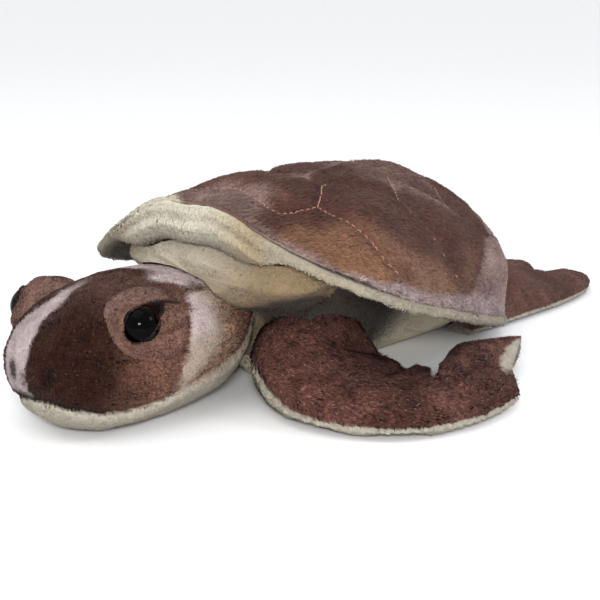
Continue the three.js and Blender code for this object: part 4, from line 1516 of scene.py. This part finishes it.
def stitches(shell, material):
    """Short capsules of thread that dip into the quilting at both ends."""
    tree = BVHTree.FromPolygons([Vector(p) for p in shell.points], shell.triangles.tolist())
    angle = full_turn(STITCH_SIDES)[0]
    station = np.linspace(-1, 1, STITCH_RINGS)
    girth = STITCH_RADIUS * np.sqrt(1 - STITCH_DIP * station**4)
    capsules = []
    for x, y, dx, dy, proud in stitch_places():
        place, normal, _, _ = tree.ray_cast(Vector((x, y, OVER_SHELL)), Vector((0, 0, -1)))
        if place is None:
            continue
        normal = np.array(normal)
        run = unit(np.array([dx, dy, 0]) - normal * (normal[:2] @ [dx, dy]))
        centre = np.array(place) + run * (station * STITCH_LENGTH / 2)[:, None]
        height = STITCH_LEVEL + STITCH_PROUD * proud - STITCH_DIP * station**4
        centre = centre + normal * height[:, None]
        ring = np.cross(normal, run) * np.cos(angle)[:, None] + normal * np.sin(angle)[:, None]
        capsules.append((centre[:, None] + ring[None] * girth[:, None, None]).reshape(-1, 3))
    triangles, quads = capsule_faces()
    first = np.arange(len(capsules))[:, None, None] * STITCH_SIDES * STITCH_RINGS
    faces = [(first + rows).reshape(-1, rows.shape[1]) for rows in (triangles, quads)]
    made, _ = new_object("stitches", to_model(np.concatenate(capsules)), *faces)
    made.data.materials.append(material)
    return made


def capsule_faces():
    """Triangles of a capsule's two ends, and quads between its rings."""
    quads, triangles = [], []
    for r in range(STITCH_RINGS - 1):
        for k in range(STITCH_SIDES):
            a, b = r * STITCH_SIDES + k, r * STITCH_SIDES + (k + 1) % STITCH_SIDES
            quads.append((a, b, b + STITCH_SIDES, a + STITCH_SIDES))
    top = (STITCH_RINGS - 1) * STITCH_SIDES
    for k in range(1, STITCH_SIDES - 1):
        triangles.append((0, k + 1, k))
        triangles.append((top, top + k, top + k + 1))
    return np.array(triangles), np.array(quads)


# ---- making everything

SIDES = {1: "left", -1: "right"}
MIDDLE_KINDS = ("shell", "hem", "trunk", "neck", "head", "tail")
SIDE_KINDS = ("eyelid", "fore", "hind")
BROWN_SHEEN, DARK_SHEEN, CREAM_SHEEN = (0.85, 0.62, 0.56), (0.8, 0.55, 0.5), (1.0, 0.97, 0.9)
# By slot: the material of the skin, and that of the tufts on it.
FABRICS = {
    "brown_plush": (
        plush_material("brown_plush", 0.08, BROWN_SHEEN, 0.0012, 0.16),
        plush_material("brown_pile", 0.05, BROWN_SHEEN, 0, 0.08),
    ),
    "dark_plush": (
        plush_material("dark_plush", 0.05, DARK_SHEEN, 0.0014, 0.2),
        plush_material("dark_pile", 0.03, DARK_SHEEN, 0, 0.1),
    ),
    "cream_plush": (
        plush_material("cream_plush", 0.15, CREAM_SHEEN, 0.0010, 0.06),
        plush_material("cream_pile", 0.1, CREAM_SHEEN, 0, 0.04),
    ),
}
# By kind of piece: its slot, how full it is, and the CAD node it replaces, without its side.
STUFFED = {
    "shell": ("brown_plush", 0.6, "shell"),
    "hem": ("cream_plush", 0.5, "shell_lining"),
    "trunk": ("cream_plush", 0.8, "trunk"),
    "neck": ("cream_plush", 0.8, "neck"),
    "head": ("brown_plush", 0.9, "head"),
    "tail": ("brown_plush", 0.6, "tail"),
    "eyelid": ("brown_plush", 0.6, "eyelid"),
    "fore": ("dark_plush", 0.7, "fore_flipper"),
    "hind": ("dark_plush", 0.5, "hind_flipper"),
}
# By kind of piece: the make of its pile.
COATS = {
    "shell": dict(seed=101, spacing=0.62, length=2.3, width=0.5, lift=0.42, swirl=0.5, clump=2.2),
    "hem": dict(seed=102, spacing=0.64, length=1.3, width=0.6, lift=0.5, swirl=1.5, clump=1.8,
                spread=0.04, shaded_root_tone=0.86, ruffle=0.26),
    "trunk": dict(seed=103, spacing=0.85, length=1.5, width=0.5, lift=0.35, swirl=0.5, clump=2.0,
                  spread=0.04, shaded_root_tone=CREAM_ROOT_SHADE),
    "neck": dict(seed=104, spacing=0.66, length=1.3, width=0.42, lift=0.3, swirl=0.35, clump=1.6,
                 spread=0.03, shaded_root_tone=CREAM_ROOT_SHADE),
    "head": dict(seed=105, spacing=0.55, length=1.4, width=0.52, lift=0.75, swirl=1.4, clump=1.7,
                 spread=0.26, shaded_root_tone=0.5, glints=0.3),
    "tail": dict(seed=106, spacing=0.7, length=1.8, width=0.5, lift=0.4, swirl=0.6, clump=1.8),
    "eyelid": dict(seed=107, spacing=0.5, length=1.1, width=0.44, lift=0.7, swirl=1.3, clump=1.6,
                   spread=0.26, shaded_root_tone=0.5, glints=0.3),
    "fore": dict(seed=108, spacing=0.58, length=2.1, width=0.56, lift=0.45, swirl=1.1, clump=1.9,
                 spread=0.3, shaded_root_tone=0.5, glints=0.7),
    "hind": dict(seed=109, spacing=0.7, length=1.8, width=0.48, lift=0.5, swirl=0.8, clump=1.8,
                 spread=0.12, glints=0.4),
}


def inset(skin):
    """Makes room for the pile, except on faces that lie against another piece."""
    return skin.moved(-SKIN_INSET * (1 - skin.field("bare")))


def sewn_pieces():
    """Every stuffed piece by name, painted and cut clear of its neighbours."""
    shell, hem = paint_shell(inset(shell_skin())), paint_hem(inset(hem_skin()))
    head = paint_head(inset(head_skin()))
    neck = paint_neck(inset(body_skin(BODY_START, NECK_SEAM - SEAM_GAP / 2, NECK_RINGS, neck_wrinkles)))
    trunk = body_skin(NECK_SEAM + SEAM_GAP / 2, BODY_END, TRUNK_RINGS, trunk_wrinkles)
    trunk = paint_trunk(inset(trunk))
    fore = {side: paint_flipper(inset(fore_skin(side)), FLIPPER, 84) for side in SIDES}
    pieces = {
        "shell": shell,
        "hem": hem,
        "trunk": cut_clear(trunk, [hem, *fore.values()]),
        "neck": cut_clear(neck, [hem, head, *fore.values()]),
        "head": head,
        "tail": cut_clear(paint_tail(inset(tail_skin())), [trunk, hem, shell]),
    }
    for side, label in SIDES.items():
        hind = paint_flipper(inset(hind_skin(side)), HIND, 87)
        lids = paint_eyelid(inset(eyelid_skin(side)))
        pieces[f"eyelid_{label}"] = cut_clear(lids, [head], -PIECE_GAP)
        pieces[f"fore_{label}"] = cut_clear(fore[side], [head, hem])
        pieces[f"hind_{label}"] = cut_clear(hind, [trunk, hem, shell])
    return pieces


def rides(piece):
    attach(piece, "root")
    return piece


def stuffed(name, skin):
    """The skin of a stuffed piece, which stands for its CAD node."""
    kind, joint, label = name.partition("_")
    slot, fill, node_name = STUFFED[kind]
    piece = rides(show_skin(f"skin_{name}", skin, FABRICS[slot][0]))
    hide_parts(node_name + joint + label)


def coated(name, skin):
    """The pile of a stuffed piece."""
    kind, _, _ = name.partition("_")
    slot, _, _ = STUFFED[kind]
    for tufts in pile(f"pile_{name}", skin, FABRICS[slot][1], **COATS[kind]):
        rides(tufts)


def build_turtle():
    """The pieces along the middle, then those of each side, then the stitches."""
    pieces = sewn_pieces()
    for make in (stuffed, coated):
        for name in MIDDLE_KINDS:
            make(name, pieces[name])
    eye_plastic = eye_material()
    for side, label in SIDES.items():
        for kind in SIDE_KINDS:
            name = f"{kind}_{label}"
            stuffed(name, pieces[name])
            coated(name, pieces[name])
        piece = rides(show_skin(f"button_eye_{label}", eye_skin(side), eye_plastic))
        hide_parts(f"eye_{label}")
    rides(stitches(pieces["shell"], thread_material()))


build_turtle()

# ---- floor, lights and camera

FLOOR_REACH = 40
SENSOR_WIDTH = 36
LIGHTS = [  # name, place and target in metres, size, watts and colour
    ("key", (0.12, -0.45, 1.2), (0, 0, 0.03), (1.0, 1.0), 4.0, (1, 1, 1)),
    ("window", (0.9, 0.45, 0.7), (0, 0, 0.04), (0.3, 0.32), 2.9, (0.8, 0.82, 1.0)),
    ("fill", (-0.9, -0.6, 0.6), (0, 0, 0.03), (0.6, 0.5), 1.1, (0.88, 0.94, 1.0)),
    ("flash", (0.372, -0.43, 0.23), (0.02, -0.1, 0.05), (0.1, 0.065), 1.8, (1, 1, 1)),
]


def floor():
    corners = np.array([[-1, -1, 0], [1, -1, 0], [1, 1, 0], [-1, 1, 0]], float) * FLOOR_REACH
    made, _ = new_object("floor", corners, np.array([[0, 1, 2, 3]]))
    material, tree, shader = new_material("floor")
    feed(tree, shader, {"Base Color": (0.9, 0.9, 0.9, 1), "Roughness": 0.8})
    made.data.materials.append(material)


def placed(name, data, place, looks_along):
    """A light or camera at a place, facing along a direction."""
    made = bpy.data.objects.new(name, data)
    bpy.context.scene.collection.objects.link(made)
    made.location = place
    made.rotation_euler = looks_along.to_track_quat("-Z", "Y").to_euler()
    return made


def area_light(name, place, target, size, power, colour):
    light = bpy.data.lights.new(name, "AREA")
    light.shape, light.size, light.size_y = "RECTANGLE", size[0], size[1]
    light.energy, light.color = power, colour
    placed(name, light, place, Vector(target) - Vector(place))


def camera():
    data = bpy.data.cameras.new("camera")
    data.lens, data.sensor_width = CAMERA_LENS, SENSOR_WIDTH
    data.clip_start, data.clip_end = 0.01, 20
    view = Vector((
        -math.sin(CAMERA_AZIMUTH) * math.cos(CAMERA_PITCH),
        math.cos(CAMERA_AZIMUTH) * math.cos(CAMERA_PITCH),
        -math.sin(CAMERA_PITCH),
    ))
    bpy.context.scene.camera = placed("camera", data, to_model(np.array(CAMERA_PLACE)), view)


def world():
    made = bpy.data.worlds.new("studio")
    made.use_nodes = True
    tree = made.node_tree
    feed(tree, tree.nodes["Background"], {"Color": (0.97, 0.985, 1.0, 1), "Strength": 1.0})
    bpy.context.scene.world = made


floor()
for row in LIGHTS:
    area_light(*row)
world()
camera()
bpy.context.scene.view_settings.view_transform = "Standard"
